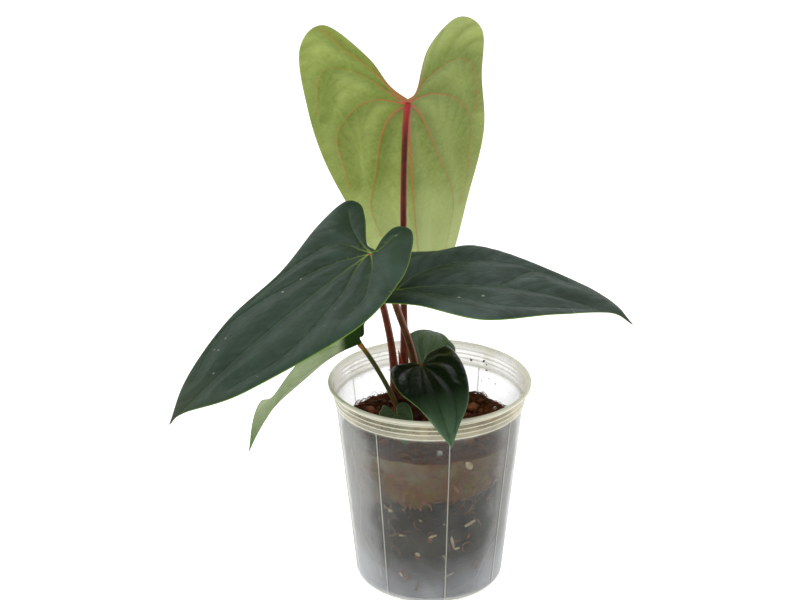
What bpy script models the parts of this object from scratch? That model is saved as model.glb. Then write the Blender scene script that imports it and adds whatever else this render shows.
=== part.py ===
"""Potted anthurium: a clear nursery pot, its growing mix and a plant of seven leaves."""
import math

import bpy
import bmesh
import numpy as np

# Pot, metres. The origin is the centre of the underside of its base.
POT_RIM_RADIUS = 0.060
POT_HEIGHT = 0.126
POT_BASE_RADIUS = 0.0442
POT_WALL = 0.0013
POT_BASE_THICKNESS = 0.0016
POT_COLLAR_RADIUS = 0.0562
POT_COLLAR_HEIGHT = 0.013
POT_LIP_HEIGHT = 0.0022
POT_RIB_COUNT = 8
POT_RIB_TURN = -78.0
POT_RIB_WIDTH = 0.0010
POT_RIB_RISE = 0.00035
POT_RIDGE_RISE = 0.0003
DRAIN_COUNT = 6
DRAIN_RADIUS = 0.004
DRAIN_RING = 0.028

# Growing mix and what lies on it.
MIX_BELOW_LIP = 0.0325
MIX_TOP = POT_HEIGHT - MIX_BELOW_LIP
MIX_LUMP = 0.0022
FIT_GAP = 0.0003

# Stem and leaf stalks.  The stem top follows the mix, and the upper leaves follow the stem.
STEM_HEIGHT = 0.0275
STEM_TOP = MIX_TOP + STEM_HEIGHT
STEM_RADIUS = 0.0086
STEM_LEAN_X = -0.0145
STEM_FOOT_X = -0.0095
STALK_SIDES = 10
STALK_STEPS = 12
KNUCKLE_SWELL = 1.2

# Leaf blades.
BLADE_THICKNESS = 0.0009
BLADE_RINGS = (0.28, 0.55, 0.78, 0.92, 1.0)
BLADE_HEART = 0.12

# Each leaf: where the blade meets its stalk, the way the midrib sets out (heading is
# anticlockwise from +X seen from above, rise is above level), the roll about the midrib,
# the midrib length, then fold, cup, bend, lobe bend and twist.  The front and low leaves hang
# over the pot, so their place is measured from its lip.  The two outline halves are
# fractions of the midrib length, read from the notch to the tip.
LEAVES = {
    "back": {
        "at": (-0.0129, 0.034, STEM_TOP + 0.1622), "heading": 88.0, "rise": -62.5, "roll": 21.0,
        "length": 0.148, "fold": 0.27, "cup": 0.13, "bend": 0.26, "lobe": 0.0, "twist": -0.04,
        "right": ((0.04, -0.05), (0.10, -0.23), (0.24, -0.305), (0.357, -0.18), (0.355, 0.045),
                  (0.36, 0.325), (0.26, 0.615), (0.145, 0.885)),
        "left": ((0.07, -0.10), (0.15, -0.25), (0.30, -0.405), (0.395, -0.285), (0.385, 0.02),
                 (0.34, 0.285), (0.237, 0.58), (0.12, 0.845)),
        "foot": (-0.0150, 0.0052, 0.0), "reach": (0.0, 0.003, 0.055), "hook": (0.0006, 0.009, 0.020),
        "radius": 0.0021, "fine": 3,
    },
    "left": {
        "at": (-0.0322, -0.038, STEM_TOP + 0.0968), "heading": 217.1, "rise": -20.4, "roll": -2.3,
        "length": 0.1453, "fold": 0.04, "cup": 0.0, "bend": 0.24, "lobe": 0.06, "twist": 0.01,
        "right": ((0.075, -0.035), (0.23, -0.142), (0.347, -0.20), (0.422, -0.174), (0.38, -0.013),
                  (0.258, 0.262), (0.226, 0.543), (0.127, 0.823)),
        "left": ((-0.045, -0.095), (-0.054, -0.168), (0.03, -0.178), (0.156, -0.085), (0.295, 0.08),
                 (0.367, 0.35), (0.20, 0.75), (0.015, 0.934)),
        "foot": (-0.0203, -0.0024, 0.0), "reach": (-0.001, 0.001, 0.036),
        "hook": (-0.005, 0.002, 0.030), "radius": 0.0022, "fine": 3,
    },
    "right": {
        "at": (-0.0202, -0.042, STEM_TOP + 0.0762), "heading": -0.9, "rise": 10.5, "roll": -2.8,
        "length": 0.136, "fold": 0.08, "cup": -0.04, "bend": 0.66, "lobe": 0.12, "twist": 0.04,
        "right": ((0.045, -0.045), (0.06, -0.075), (0.09, -0.09), (0.13, -0.02), (0.20, 0.10),
                  (0.383, 0.36), (0.21, 0.653), (-0.02, 0.90)),
        "left": ((0.085, -0.04), (0.16, -0.14), (0.26, -0.21), (0.378, -0.135), (0.325, 0.155),
                 (0.383, 0.34), (0.253, 0.645), (0.14, 0.91)),
        "foot": (-0.0085, -0.0043, 0.0), "reach": (0.0045, -0.002, 0.020),
        "hook": (0.0012, -0.007, 0.0115), "radius": 0.0022, "fine": 3,
    },
    "front": {
        "at": (-0.0043, 0.032 - POT_RIM_RADIUS, POT_HEIGHT + 0.0202), "heading": -74.7, "rise": -7.0, "roll": -8.7,
        "length": 0.0595, "fold": -0.06, "cup": 0.08, "bend": 0.75, "lobe": 0.38, "twist": 0.13,
        "right": ((0.03, -0.05), (0.08, -0.105), (0.19, -0.135), (0.283, -0.085), (0.322, 0.08),
                  (0.302, 0.316), (0.174, 0.57), (0.078, 0.83)),
        "left": ((0.05, -0.10), (0.112, -0.20), (0.235, -0.25), (0.33, -0.245), (0.37, 0.015),
                 (0.358, 0.32), (0.282, 0.585), (0.12, 0.82)),
        "foot": (-0.0140, -0.0070, 0.0), "reach": (0.001, -0.001, 0.010),
        "hook": (0.001, -0.004, 0.006), "radius": 0.0015, "fine": 3,
    },
    "low": {
        "at": (0.019 - POT_RIM_RADIUS, -0.010, POT_HEIGHT + 0.0265), "heading": 202.7, "rise": -12.5, "roll": -40.8,
        "length": 0.0926, "fold": 0.40, "cup": -0.52, "bend": 0.82, "lobe": -0.03, "twist": -0.18,
        "right": ((0.116, 0.02), (0.177, -0.039), (0.239, -0.055), (0.31, -0.044), (0.318, 0.086),
                  (0.42, 0.34), (0.311, 0.627), (0.101, 0.919)),
        "left": ((0.068, -0.005), (0.096, -0.033), (0.217, -0.029), (0.311, -0.036), (0.354, 0.054),
                 (0.249, 0.272), (0.096, 0.635), (0.188, 0.761)),
        "beside": 239.0, "foot": (0.0, 0.0, -0.010), "reach": (-0.004, 0.0, 0.010),
        "hook": (-0.008, -0.001, 0.010), "radius": 0.0015, "fine": 2,
    },
    "rear": {
        "at": (-0.0039, 0.0105, STEM_TOP + 0.0090), "heading": 77.5, "rise": 29.0, "roll": -7.5,
        "length": 0.0446, "fold": 0.17, "cup": 0.11, "bend": 0.86, "lobe": 0.10, "twist": -0.03,
        "right": ((0.06, -0.06), (0.12, -0.12), (0.22, -0.15), (0.32, -0.10), (0.375, 0.05),
                  (0.38, 0.31), (0.245, 0.565), (0.115, 0.825)),
        "left": ((0.05, -0.05), (0.10, -0.08), (0.15, -0.06), (0.20, 0.03), (0.265, 0.16),
                 (0.32, 0.355), (0.255, 0.59), (0.12, 0.87)),
        "foot": (-0.0090, 0.0024, 0.0), "reach": (0.0, 0.0, 0.004), "hook": (0.0, 0.002, 0.004),
        "radius": 0.0013, "fine": 2,
    },
    "tiny": {
        "at": (-0.0196, -0.0205, STEM_TOP - 0.0085), "heading": -73.7, "rise": -15.7, "roll": -1.8,
        "length": 0.0240, "fold": 0.15, "cup": 0.10, "bend": 0.30, "lobe": 0.08, "twist": 0.01,
        "right": ((0.06, -0.10), (0.115, -0.235), (0.225, -0.32), (0.31, -0.18), (0.42, 0.01),
                  (0.355, 0.30), (0.25, 0.58), (0.12, 0.84)),
        "left": ((0.055, -0.105), (0.105, -0.255), (0.235, -0.34), (0.35, -0.225), (0.38, 0.03),
                 (0.345, 0.30), (0.25, 0.58), (0.12, 0.84)),
        "beside": 221.0, "foot": (0.0, 0.0, -0.020), "reach": (-0.001, -0.004, 0.005),
        "hook": (0.0, -0.003, 0.004), "radius": 0.0008, "fine": 2,
    },
}

# Bark: x, y, length, width, height, turn in degrees.
BARK = {
    "bark_1": (0.0262, 0.0235, 0.011, 0.006, 0.0035, 60.0),
    "bark_2": (0.0120, 0.0370, 0.009, 0.006, 0.0030, 15.0),
    "bark_3": (0.0360, 0.0050, 0.010, 0.005, 0.0030, 100.0),
    "bark_4": (-0.0360, 0.0180, 0.010, 0.006, 0.0035, 140.0),
    "bark_5": (-0.0280, -0.0260, 0.009, 0.006, 0.0030, 35.0),
    "bark_6": (0.0230, -0.0240, 0.011, 0.006, 0.0035, 80.0),
}
# White grains: x, y, radius.
GRAINS = {
    "grain_1": (0.0400, 0.0230, 0.0015),
    "grain_2": (-0.0430, 0.0020, 0.0018),
    "grain_3": (-0.0200, 0.0400, 0.0014),
    "grain_4": (0.0060, -0.0380, 0.0018),
}
# Aerial roots: both ends on the mix, the height of the arch, the tube radius.
ROOTS = {
    "root_1": ((-0.0400, 0.0270), (-0.0200, 0.0330), 0.0050, 0.0006),
    "root_2": ((0.0180, 0.0420), (0.0370, 0.0300), 0.0070, 0.0005),
    "root_3": ((-0.0300, 0.0060), (-0.0380, -0.0130), 0.0040, 0.0006),
}


def clear_scene():
    for thing in list(bpy.data.objects):
        bpy.data.objects.remove(thing, do_unlink=True)
    for mesh in list(bpy.data.meshes):
        bpy.data.meshes.remove(mesh)


def make_material(name, color, roughness, alpha=1.0):
    material = bpy.data.materials.new(name)
    material.use_nodes = True
    shader = material.node_tree.nodes["Principled BSDF"]
    shader.inputs["Base Color"].default_value = (*color, 1.0)
    shader.inputs["Roughness"].default_value = roughness
    shader.inputs["Alpha"].default_value = alpha
    return material


def add_solid(name, verts, faces, material, smooth=True):
    mesh = bpy.data.meshes.new(name)
    mesh.from_pydata([tuple(map(float, v)) for v in verts], [], faces)
    work = bmesh.new()
    work.from_mesh(mesh)
    bmesh.ops.recalc_face_normals(work, faces=work.faces)
    if work.calc_volume(signed=True) < 0:
        bmesh.ops.reverse_faces(work, faces=work.faces)
    work.to_mesh(mesh)
    work.free()
    thing = bpy.data.objects.new(name, mesh)
    bpy.context.collection.objects.link(thing)
    thing.data.materials.append(material)
    for face in mesh.polygons:
        face.use_smooth = smooth
    return thing


def smooth_loop(points, fine):
    """A closed smooth curve through the points."""
    points = np.array(points, dtype=float)
    count = len(points)
    out = []
    for i in range(count):
        a, b, c, d = (points[(i + k) % count] for k in (-1, 0, 1, 2))
        for k in range(fine):
            t = k / fine
            out.append(0.5 * (2 * b + (c - a) * t + (2 * a - 5 * b + 4 * c - d) * t * t
                              + (3 * b - a - 3 * c + d) * t ** 3))
    return np.array(out)


def leaf_axes(leaf):
    """Side, along and up directions of a leaf where it meets its stalk."""
    heading, rise, roll = (math.radians(leaf[k]) for k in ("heading", "rise", "roll"))
    along = np.array((math.cos(heading) * math.cos(rise), math.sin(heading) * math.cos(rise),
                      math.sin(rise)))
    up = np.array((-math.cos(heading) * math.sin(rise), -math.sin(heading) * math.sin(rise),
                   math.cos(rise)))
    side = np.cross(along, up)
    return (side * math.cos(roll) + up * math.sin(roll), along,
            up * math.cos(roll) - side * math.sin(roll))


def leaf_surface(leaf, flat):
    """Carries flat leaf points (fractions of the midrib) to their place in the air."""
    length = leaf["length"]
    x = flat[:, 0] * length
    y = flat[:, 1] * length
    soft = 0.03 * length
    height = (np.sqrt(x * x + soft * soft) - soft) * math.sin(leaf["fold"])
    height = height + leaf["cup"] * x * x / length
    x = x * math.cos(leaf["fold"])
    curl = np.where(y >= 0, leaf["bend"] or 1e-4, leaf["lobe"] or 1e-4) / length
    turn = curl * y
    spin = leaf["twist"] * y / length
    across = x * np.cos(spin) - height * np.sin(spin)
    lift = x * np.sin(spin) + height * np.cos(spin)
    along = np.sin(turn) / curl + lift * np.sin(turn)
    up = (np.cos(turn) - 1) / curl + lift * np.cos(turn)
    sideways, forwards, upwards = leaf_axes(leaf)
    return (np.array(leaf["at"]) + across[:, None] * sideways + along[:, None] * forwards
            + up[:, None] * upwards)


def build_blade(name, leaf, material):
    """A thin heart-shaped solid: two skins of rings around a heart point, joined at the edge."""
    outline = [(0.0, -0.02), *leaf["right"], (leaf.get("tip", 0.0), 1.0)]
    outline += [(-x, y) for x, y in leaf["left"][::-1]]
    edge = smooth_loop(outline, leaf["fine"])
    heart = np.array((0.0, BLADE_HEART))
    flat = np.vstack([heart[None]] + [heart + (edge - heart) * ring for ring in BLADE_RINGS])
    step = 1e-3
    middle = leaf_surface(leaf, flat)
    du = leaf_surface(leaf, flat + (step, 0)) - leaf_surface(leaf, flat - (step, 0))
    dv = leaf_surface(leaf, flat + (0, step)) - leaf_surface(leaf, flat - (0, step))
    normal = np.cross(du, dv)
    normal /= np.linalg.norm(normal, axis=1)[:, None]
    verts = np.vstack([middle + normal * BLADE_THICKNESS / 2, middle - normal * BLADE_THICKNESS / 2])
    count = len(edge)
    below = len(flat)
    faces = []
    for i in range(count):
        j = (i + 1) % count
        faces.append((0, 1 + i, 1 + j))
        faces.append((below, below + 1 + j, below + 1 + i))
        for ring in range(len(BLADE_RINGS) - 1):
            a, b = 1 + ring * count + i, 1 + ring * count + j
            c, d = b + count, a + count
            faces.append((a, d, c, b))
            faces.append((below + a, below + b, below + c, below + d))
        a = 1 + (len(BLADE_RINGS) - 1) * count + i
        b = 1 + (len(BLADE_RINGS) - 1) * count + j
        faces.append((a, below + a, below + b, b))
    return add_solid(name, verts, faces, material)


def bezier(points, t):
    a, b, c, d = (np.array(p, dtype=float) for p in points)
    s = 1 - t
    return a * s ** 3 + 3 * b * s * s * t + 3 * c * s * t * t + d * t ** 3


def build_tube(name, path, radii, sides, material, pulls=None):
    """A round rod along a path, with flat ends square to the pull at each end."""
    path = np.array(path)
    verts, faces = [], []
    tangents = np.gradient(path, axis=0) if pulls is None else np.array(pulls, dtype=float)
    tangents /= np.linalg.norm(tangents, axis=1)[:, None]
    across = np.cross(tangents[0], (0.31, 0.87, 0.38))
    for point, tangent, radius in zip(path, tangents, radii):
        across = across - tangent * across.dot(tangent)
        across /= np.linalg.norm(across)
        other = np.cross(tangent, across)
        for k in range(sides):
            angle = 2 * math.pi * k / sides
            verts.append(point + radius * (across * math.cos(angle) + other * math.sin(angle)))
    last = len(path) - 1
    for row in range(last):
        for k in range(sides):
            a, b = row * sides + k, row * sides + (k + 1) % sides
            faces.append((a, b, b + sides, a + sides))
    faces.append(tuple(range(sides))[::-1])
    faces.append(tuple(last * sides + k for k in range(sides)))
    return add_solid(name, verts, faces, material)


def stalk_curve(leaf):
    """The four control points of a stalk, from the stem to just under the blade."""
    up = leaf_axes(leaf)[2]
    hook = np.array(leaf["hook"])
    slant = np.linalg.norm(np.cross(up, hook)) / np.linalg.norm(hook)
    x, y, z = leaf["foot"]
    if "beside" in leaf:
        turn = math.radians(leaf["beside"])
        middle = STEM_LEAN_X + (STEM_FOOT_X - STEM_LEAN_X) * -z / STEM_HEIGHT
        reach = STEM_RADIUS * 1.07 + leaf["radius"] * 1.25 + FIT_GAP
        x, y = middle + reach * math.cos(turn), reach * math.sin(turn)
    foot = np.array((x, y, STEM_TOP + FIT_GAP + z))
    clear = BLADE_THICKNESS / 2 + FIT_GAP + leaf["radius"] * KNUCKLE_SWELL * slant
    end = np.array(leaf["at"]) - up * clear
    return foot, foot + np.array(leaf["reach"]), end - hook, end


def build_stalk(name, leaf, material):
    """A leaf stalk, thicker at its foot and again in the knuckle under the blade."""
    points = stalk_curve(leaf)
    steps = np.linspace(0, 1, STALK_STEPS + 1)
    path = [bezier(points, t) for t in steps]
    pulls = np.array([bezier(points, t + 1e-4) - bezier(points, t - 1e-4) for t in steps])
    pulls[0] = (0.0, 0.0, 1.0)
    radius = leaf["radius"]
    swell = KNUCKLE_SWELL - 1
    radii = [radius * (1 + 0.25 * (1 - t) ** 4 + swell * math.exp(-((t - 0.95) / 0.06) ** 2))
             for t in steps]
    return build_tube(name, path, radii, STALK_SIDES, material, pulls)


def mix_height(x, y):
    """Lumpy top of the growing mix, a little higher round the stem."""
    reach = math.hypot(x, y)
    lumps = math.sin(210 * x + 1.3) * math.cos(190 * y - 0.4)
    lumps += 0.6 * math.sin(370 * x - 260 * y + 0.8)
    return MIX_TOP + MIX_LUMP * (0.35 * lumps + 0.5 * math.exp(-(reach / 0.02) ** 2))


def wall_radius(z):
    """Outside radius of the pot wall below the collar."""
    top = POT_HEIGHT - POT_COLLAR_HEIGHT
    return POT_BASE_RADIUS + (POT_COLLAR_RADIUS - 0.0009 - POT_BASE_RADIUS) * z / top


def pot_profile():
    """Outside from the base up to the lip, then the inside down to the floor."""
    collar = POT_HEIGHT - POT_COLLAR_HEIGHT
    under_lip = POT_HEIGHT - POT_LIP_HEIGHT
    outside = [(POT_BASE_RADIUS - 0.0015, 0.0), (wall_radius(0.0015), 0.0015)]
    outside += [(wall_radius(collar * k), collar * k) for k in (0.35, 0.7)]
    outside += [(wall_radius(collar - 0.0008), collar - 0.0008)]
    outside += [(POT_COLLAR_RADIUS, collar), (POT_COLLAR_RADIUS, collar + 0.0005)]
    for ridge in (0.0032, 0.0060, 0.0088):
        middle = POT_COLLAR_RADIUS + 0.0006 * ridge / POT_COLLAR_HEIGHT
        outside += [(middle, collar + ridge - 0.0006)]
        outside += [(middle + POT_RIDGE_RISE, collar + ridge)]
        outside += [(middle, collar + ridge + 0.0006)]
    outside += [(POT_RIM_RADIUS - 0.0024, under_lip - 0.0006), (POT_RIM_RADIUS - 0.0004, under_lip)]
    outside += [(POT_RIM_RADIUS, under_lip + 0.0009), (POT_RIM_RADIUS - 0.0006, POT_HEIGHT)]
    inside = [(POT_RIM_RADIUS - 0.0022, POT_HEIGHT - 0.0003)]
    inside += [(POT_COLLAR_RADIUS + 0.0008 - POT_WALL, under_lip - 0.0010)]
    inside += [(POT_COLLAR_RADIUS - POT_WALL, collar + 0.0002)]
    inside += [(wall_radius(collar - 0.0010) - POT_WALL, collar - 0.0010)]
    inside += [(wall_radius(collar * k) - POT_WALL, collar * k) for k in (0.7, 0.35)]
    inside += [(wall_radius(POT_BASE_THICKNESS) - POT_WALL, POT_BASE_THICKNESS)]
    return outside, inside


def build_pot(material):
    """Thin tapered pot with upright mould ribs, a ridged collar, a flared lip and drain holes."""
    outside, inside = pot_profile()
    rib = POT_RIB_WIDTH / 2 / POT_COLLAR_RADIUS
    columns = []
    for k in range(POT_RIB_COUNT):
        middle = math.radians(POT_RIB_TURN) + 2 * math.pi * k / POT_RIB_COUNT
        columns += [(middle - rib, 0.0), (middle, POT_RIB_RISE), (middle + rib, 0.0)]
        gap = 2 * math.pi / POT_RIB_COUNT
        columns += [(middle + gap * n / 7, 0.0) for n in range(1, 7)]
    verts, faces = [], []
    for place, (angle, rise) in enumerate(columns):
        for row, (radius, z) in enumerate(outside + inside):
            on_rib = 2 <= row <= 4
            grow = rise if on_rib else 0.0
            verts.append(((radius + grow) * math.cos(angle), (radius + grow) * math.sin(angle), z))
    rows = len(outside + inside)
    count = len(columns)
    for i in range(count):
        j = (i + 1) % count
        for row in range(rows - 1):
            faces.append((i * rows + row, j * rows + row, j * rows + row + 1, i * rows + row + 1))
    under, floor = len(verts), len(verts) + 1
    verts += [(0, 0, 0), (0, 0, POT_BASE_THICKNESS)]
    for i in range(count):
        j = (i + 1) % count
        faces.append((under, j * rows, i * rows))
        faces.append((floor, i * rows + rows - 1, j * rows + rows - 1))
    pot = add_solid("pot", verts, faces, material)
    cut_drains(pot)
    return pot


def cut_drains(pot):
    verts, faces = [], []
    sides = 12
    for k in range(DRAIN_COUNT):
        turn = 2 * math.pi * (k + 0.5) / DRAIN_COUNT
        x, y = DRAIN_RING * math.cos(turn), DRAIN_RING * math.sin(turn)
        first = len(verts)
        for z in (-0.001, POT_BASE_THICKNESS + 0.0004):
            for n in range(sides):
                angle = 2 * math.pi * n / sides
                verts.append((x + DRAIN_RADIUS * math.cos(angle),
                              y + DRAIN_RADIUS * math.sin(angle), z))
        for n in range(sides):
            m = (n + 1) % sides
            faces.append((first + n, first + m, first + sides + m, first + sides + n))
        faces.append(tuple(first + n for n in range(sides))[::-1])
        faces.append(tuple(first + sides + n for n in range(sides)))
    cutter = add_solid("drain_cutter", verts, faces, pot.data.materials[0], smooth=False)
    cutter.hide_render = True
    cutter.display_type = "WIRE"
    cut = pot.modifiers.new("drains", "BOOLEAN")
    cut.operation = "DIFFERENCE"
    cut.solver = "EXACT"
    cut.object = cutter


def build_mix(material):
    """The growing mix, filling the pot to a lumpy top."""
    count = 48
    gap = POT_WALL + FIT_GAP
    sides = [(wall_radius(z) - gap, z) for z in (POT_BASE_THICKNESS + FIT_GAP, 0.03, 0.065)]
    verts, faces = [], []
    rings = (1.0, 0.86, 0.70, 0.54, 0.38, 0.2)
    top_radius = wall_radius(MIX_TOP - 0.004) - gap
    for k in range(count):
        angle = 2 * math.pi * k / count
        for radius, z in sides:
            verts.append((radius * math.cos(angle), radius * math.sin(angle), z))
        for ring in rings:
            x, y = top_radius * ring * math.cos(angle), top_radius * ring * math.sin(angle)
            verts.append((x, y, mix_height(x, y)))
    rows = len(sides) + len(rings)
    bottom, top = len(verts), len(verts) + 1
    verts += [(0, 0, POT_BASE_THICKNESS + FIT_GAP), (0, 0, mix_height(0, 0))]
    for k in range(count):
        j = (k + 1) % count
        for row in range(rows - 1):
            faces.append((k * rows + row, j * rows + row, j * rows + row + 1, k * rows + row + 1))
        faces.append((bottom, j * rows, k * rows))
        faces.append((top, k * rows + rows - 1, j * rows + rows - 1))
    return add_solid("mix", verts, faces, material)


def resting_height(x, y, reach):
    """Lowest height at which a flat piece of this reach clears the mix."""
    spots = [(x + reach * a, y + reach * b) for a in (-1, -0.5, 0, 0.5, 1)
             for b in (-1, -0.5, 0, 0.5, 1)]
    return max(mix_height(*spot) for spot in spots) + FIT_GAP + 0.0002


def build_bark(name, spec, material):
    """A broken chip: a box with worn, uneven corners."""
    x, y, length, width, height, turn = spec
    angle = math.radians(turn)
    base = resting_height(x, y, length / 2)
    verts = []
    for level, shrink in ((0.0, 0.92), (0.45, 1.0), (1.0, 0.78)):
        for k, (a, b) in enumerate(((-1, -0.5), (-0.5, -1), (0.6, -0.9), (1, -0.3),
                                    (0.9, 0.6), (0.2, 1), (-0.7, 0.8))):
            wear = 1 - 0.12 * math.sin(3.1 * k + 40 * x + 5 * level)
            px, py = a * length / 2 * shrink * wear, b * width / 2 * shrink * wear
            tilt = 0.12 * height * math.sin(2.3 * k) if level == 1.0 else 0.0
            verts.append((x + px * math.cos(angle) - py * math.sin(angle),
                          y + px * math.sin(angle) + py * math.cos(angle),
                          base + level * height + tilt))
    count = 7
    faces = [tuple(range(count))[::-1], tuple(2 * count + k for k in range(count))]
    for level in range(2):
        for k in range(count):
            a, b = level * count + k, level * count + (k + 1) % count
            faces.append((a, b, b + count, a + count))
    add_solid(name, verts, faces, material, smooth=False)


def build_grain(name, spec, material):
    x, y, radius = spec
    base = resting_height(x, y, radius)
    work = bmesh.new()
    bmesh.ops.create_icosphere(work, subdivisions=2, radius=radius)
    for vert in work.verts:
        swell = 1 + 0.12 * math.sin(2900 * vert.co.x + 2100 * vert.co.y + 1700 * vert.co.z)
        vert.co *= swell
    low = min(vert.co.z for vert in work.verts)
    verts = [(v.co.x + x, v.co.y + y, v.co.z - low + base) for v in work.verts]
    faces = [tuple(v.index for v in face.verts) for face in work.faces]
    work.free()
    add_solid(name, verts, faces, material)


def build_root(name, spec, material):
    """A thin aerial root arching from one spot on the mix to another."""
    (ax, ay), (bx, by), arch, radius = spec
    start = np.array((ax, ay, resting_height(ax, ay, 0.002) + radius))
    finish = np.array((bx, by, resting_height(bx, by, 0.002) + radius))
    lift = np.array((0.0, 0.0, arch))
    points = (start, start * 0.7 + finish * 0.3 + lift, start * 0.25 + finish * 0.75 + lift, finish)
    path = [bezier(points, t) for t in np.linspace(0, 1, 11)]
    build_tube(name, path, [radius] * 11, 6, material)


def build_stem(material):
    """Short upright stem with the rings of old leaf bases."""
    base = max(mix_height(STEM_FOOT_X + STEM_RADIUS * a, STEM_RADIUS * b)
               for a in (-1, -0.7, 0, 0.7, 1) for b in (-1, -0.7, 0, 0.7, 1)) + FIT_GAP + 0.0003
    steps = np.linspace(0, 1, 9)
    path = [(STEM_FOOT_X + (STEM_LEAN_X - STEM_FOOT_X) * t, 0.0, base + (STEM_TOP - base) * t)
            for t in steps]
    radii = [STEM_RADIUS * (0.72 + 0.10 * (k % 2) + 0.34 * t * t) for k, t in enumerate(steps)]
    return build_tube("stem", path, radii, 16, material, [(0, 0, 1)] * len(path))


def build_shoot(material):
    """The pointed new leaf, still rolled in its sheath between the stalks."""
    start = np.array((-0.0151, -0.0006, STEM_TOP + FIT_GAP))
    tip = np.array((-0.0184, 0.0020, STEM_TOP + 0.0222))
    steps = np.linspace(0, 1, 9)
    path = [start + (tip - start) * t + np.array((0.0006, 0, 0)) * math.sin(math.pi * t)
            for t in steps]
    radii = [0.0022 * (1 - 0.86 * t ** 1.6) for t in steps]
    return build_tube("new_shoot", path, radii, 8, material, [(0, 0, 1)] * len(path))


def main():
    clear_scene()
    plastic = make_material("pot_plastic", (0.80, 0.82, 0.82), 0.35, 0.45)
    mix = make_material("mix", (0.10, 0.055, 0.03), 0.95)
    bark = make_material("bark", (0.30, 0.12, 0.05), 0.9)
    grain = make_material("grain", (0.80, 0.78, 0.72), 0.9)
    root = make_material("root", (0.16, 0.09, 0.05), 0.8)
    stem = make_material("stem", (0.16, 0.05, 0.03), 0.6)
    stalk = make_material("stalk", (0.22, 0.04, 0.03), 0.4)
    shoot = make_material("shoot", (0.45, 0.08, 0.04), 0.4)
    dark = make_material("leaf_dark", (0.03, 0.09, 0.05), 0.4)
    pale = make_material("leaf_pale", (0.42, 0.55, 0.22), 0.5)
    build_pot(plastic)
    build_mix(mix)
    for name, spec in BARK.items():
        build_bark(name, spec, bark)
    for name, spec in GRAINS.items():
        build_grain(name, spec, grain)
    for name, spec in ROOTS.items():
        build_root(name, spec, root)
    build_stem(stem)
    build_shoot(shoot)
    for name, leaf in LEAVES.items():
        build_stalk("stalk_" + name, leaf, stalk)
        build_blade("blade_" + name, leaf, pale if name == "back" else dark)


main()
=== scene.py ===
import math

import bpy
import numpy as np
from mathutils import Euler, Matrix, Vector
from mathutils.geometry import delaunay_2d_cdt


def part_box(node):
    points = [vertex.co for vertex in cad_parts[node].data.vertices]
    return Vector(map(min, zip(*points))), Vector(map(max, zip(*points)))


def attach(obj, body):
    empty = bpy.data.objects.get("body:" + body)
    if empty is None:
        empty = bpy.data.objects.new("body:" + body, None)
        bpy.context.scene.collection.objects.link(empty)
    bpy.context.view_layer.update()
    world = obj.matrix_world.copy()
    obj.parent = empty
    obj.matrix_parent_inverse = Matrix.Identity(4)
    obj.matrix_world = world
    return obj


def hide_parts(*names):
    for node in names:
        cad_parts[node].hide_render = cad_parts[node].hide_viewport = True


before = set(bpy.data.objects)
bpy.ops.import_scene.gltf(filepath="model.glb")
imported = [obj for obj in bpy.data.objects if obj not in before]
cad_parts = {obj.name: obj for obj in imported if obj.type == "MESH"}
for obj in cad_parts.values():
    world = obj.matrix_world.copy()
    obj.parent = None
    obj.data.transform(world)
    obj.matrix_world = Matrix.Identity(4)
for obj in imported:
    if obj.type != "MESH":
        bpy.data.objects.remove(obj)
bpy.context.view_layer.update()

potLow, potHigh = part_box("pot")
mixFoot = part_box("mix")[0][2]
rimRadius = (potHigh[0] - potLow[0]) / 2
potHeight = potHigh[2]
print("frame loaded, pot", round(2 * rimRadius, 4), "m across and", round(potHeight, 4), "m high")


# camera, floor and lights
studio = {
    "cameraPlace": (0.0, -0.860, 0.514), "cameraTurn": (68.51, 0.0, 1.15), "cameraRoll": -0.25,
    "lens": 72.0,
    "floorRadius": 3.0, "floorTone": (0.86, 0.86, 0.86), "floorGlow": 0.52,
    "floorDrop": 0.0004, "floorRings": 24, "floorSides": 64, "floorGrain": 30.0, "floorSpeck": (0.88, 0.88, 0.88),
    "skyBright": 0.95, "skyFront": 0.42, "skyTurn": (-0.9, 0.5), "lampAim": (0.0, 0.0, 0.15),
    "softbox": {"place": (-0.25, 0.45, 1.15), "size": 1.5, "power": 6.0},
    "fill": {"place": (-0.95, -0.95, 0.75), "size": 0.8, "power": 6.5},
}
white = (1.0, 1.0, 1.0, 1.0)


def boxOf(node):
    low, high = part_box(node)
    return np.array(low), np.array(high)


def aimAt(thing, target):
    way = np.array(target) - np.array(thing.location)
    flat = math.hypot(way[0], way[1])
    thing.rotation_euler = (math.atan2(flat, -way[2]), 0.0, math.atan2(-way[0], way[1]))


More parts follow.
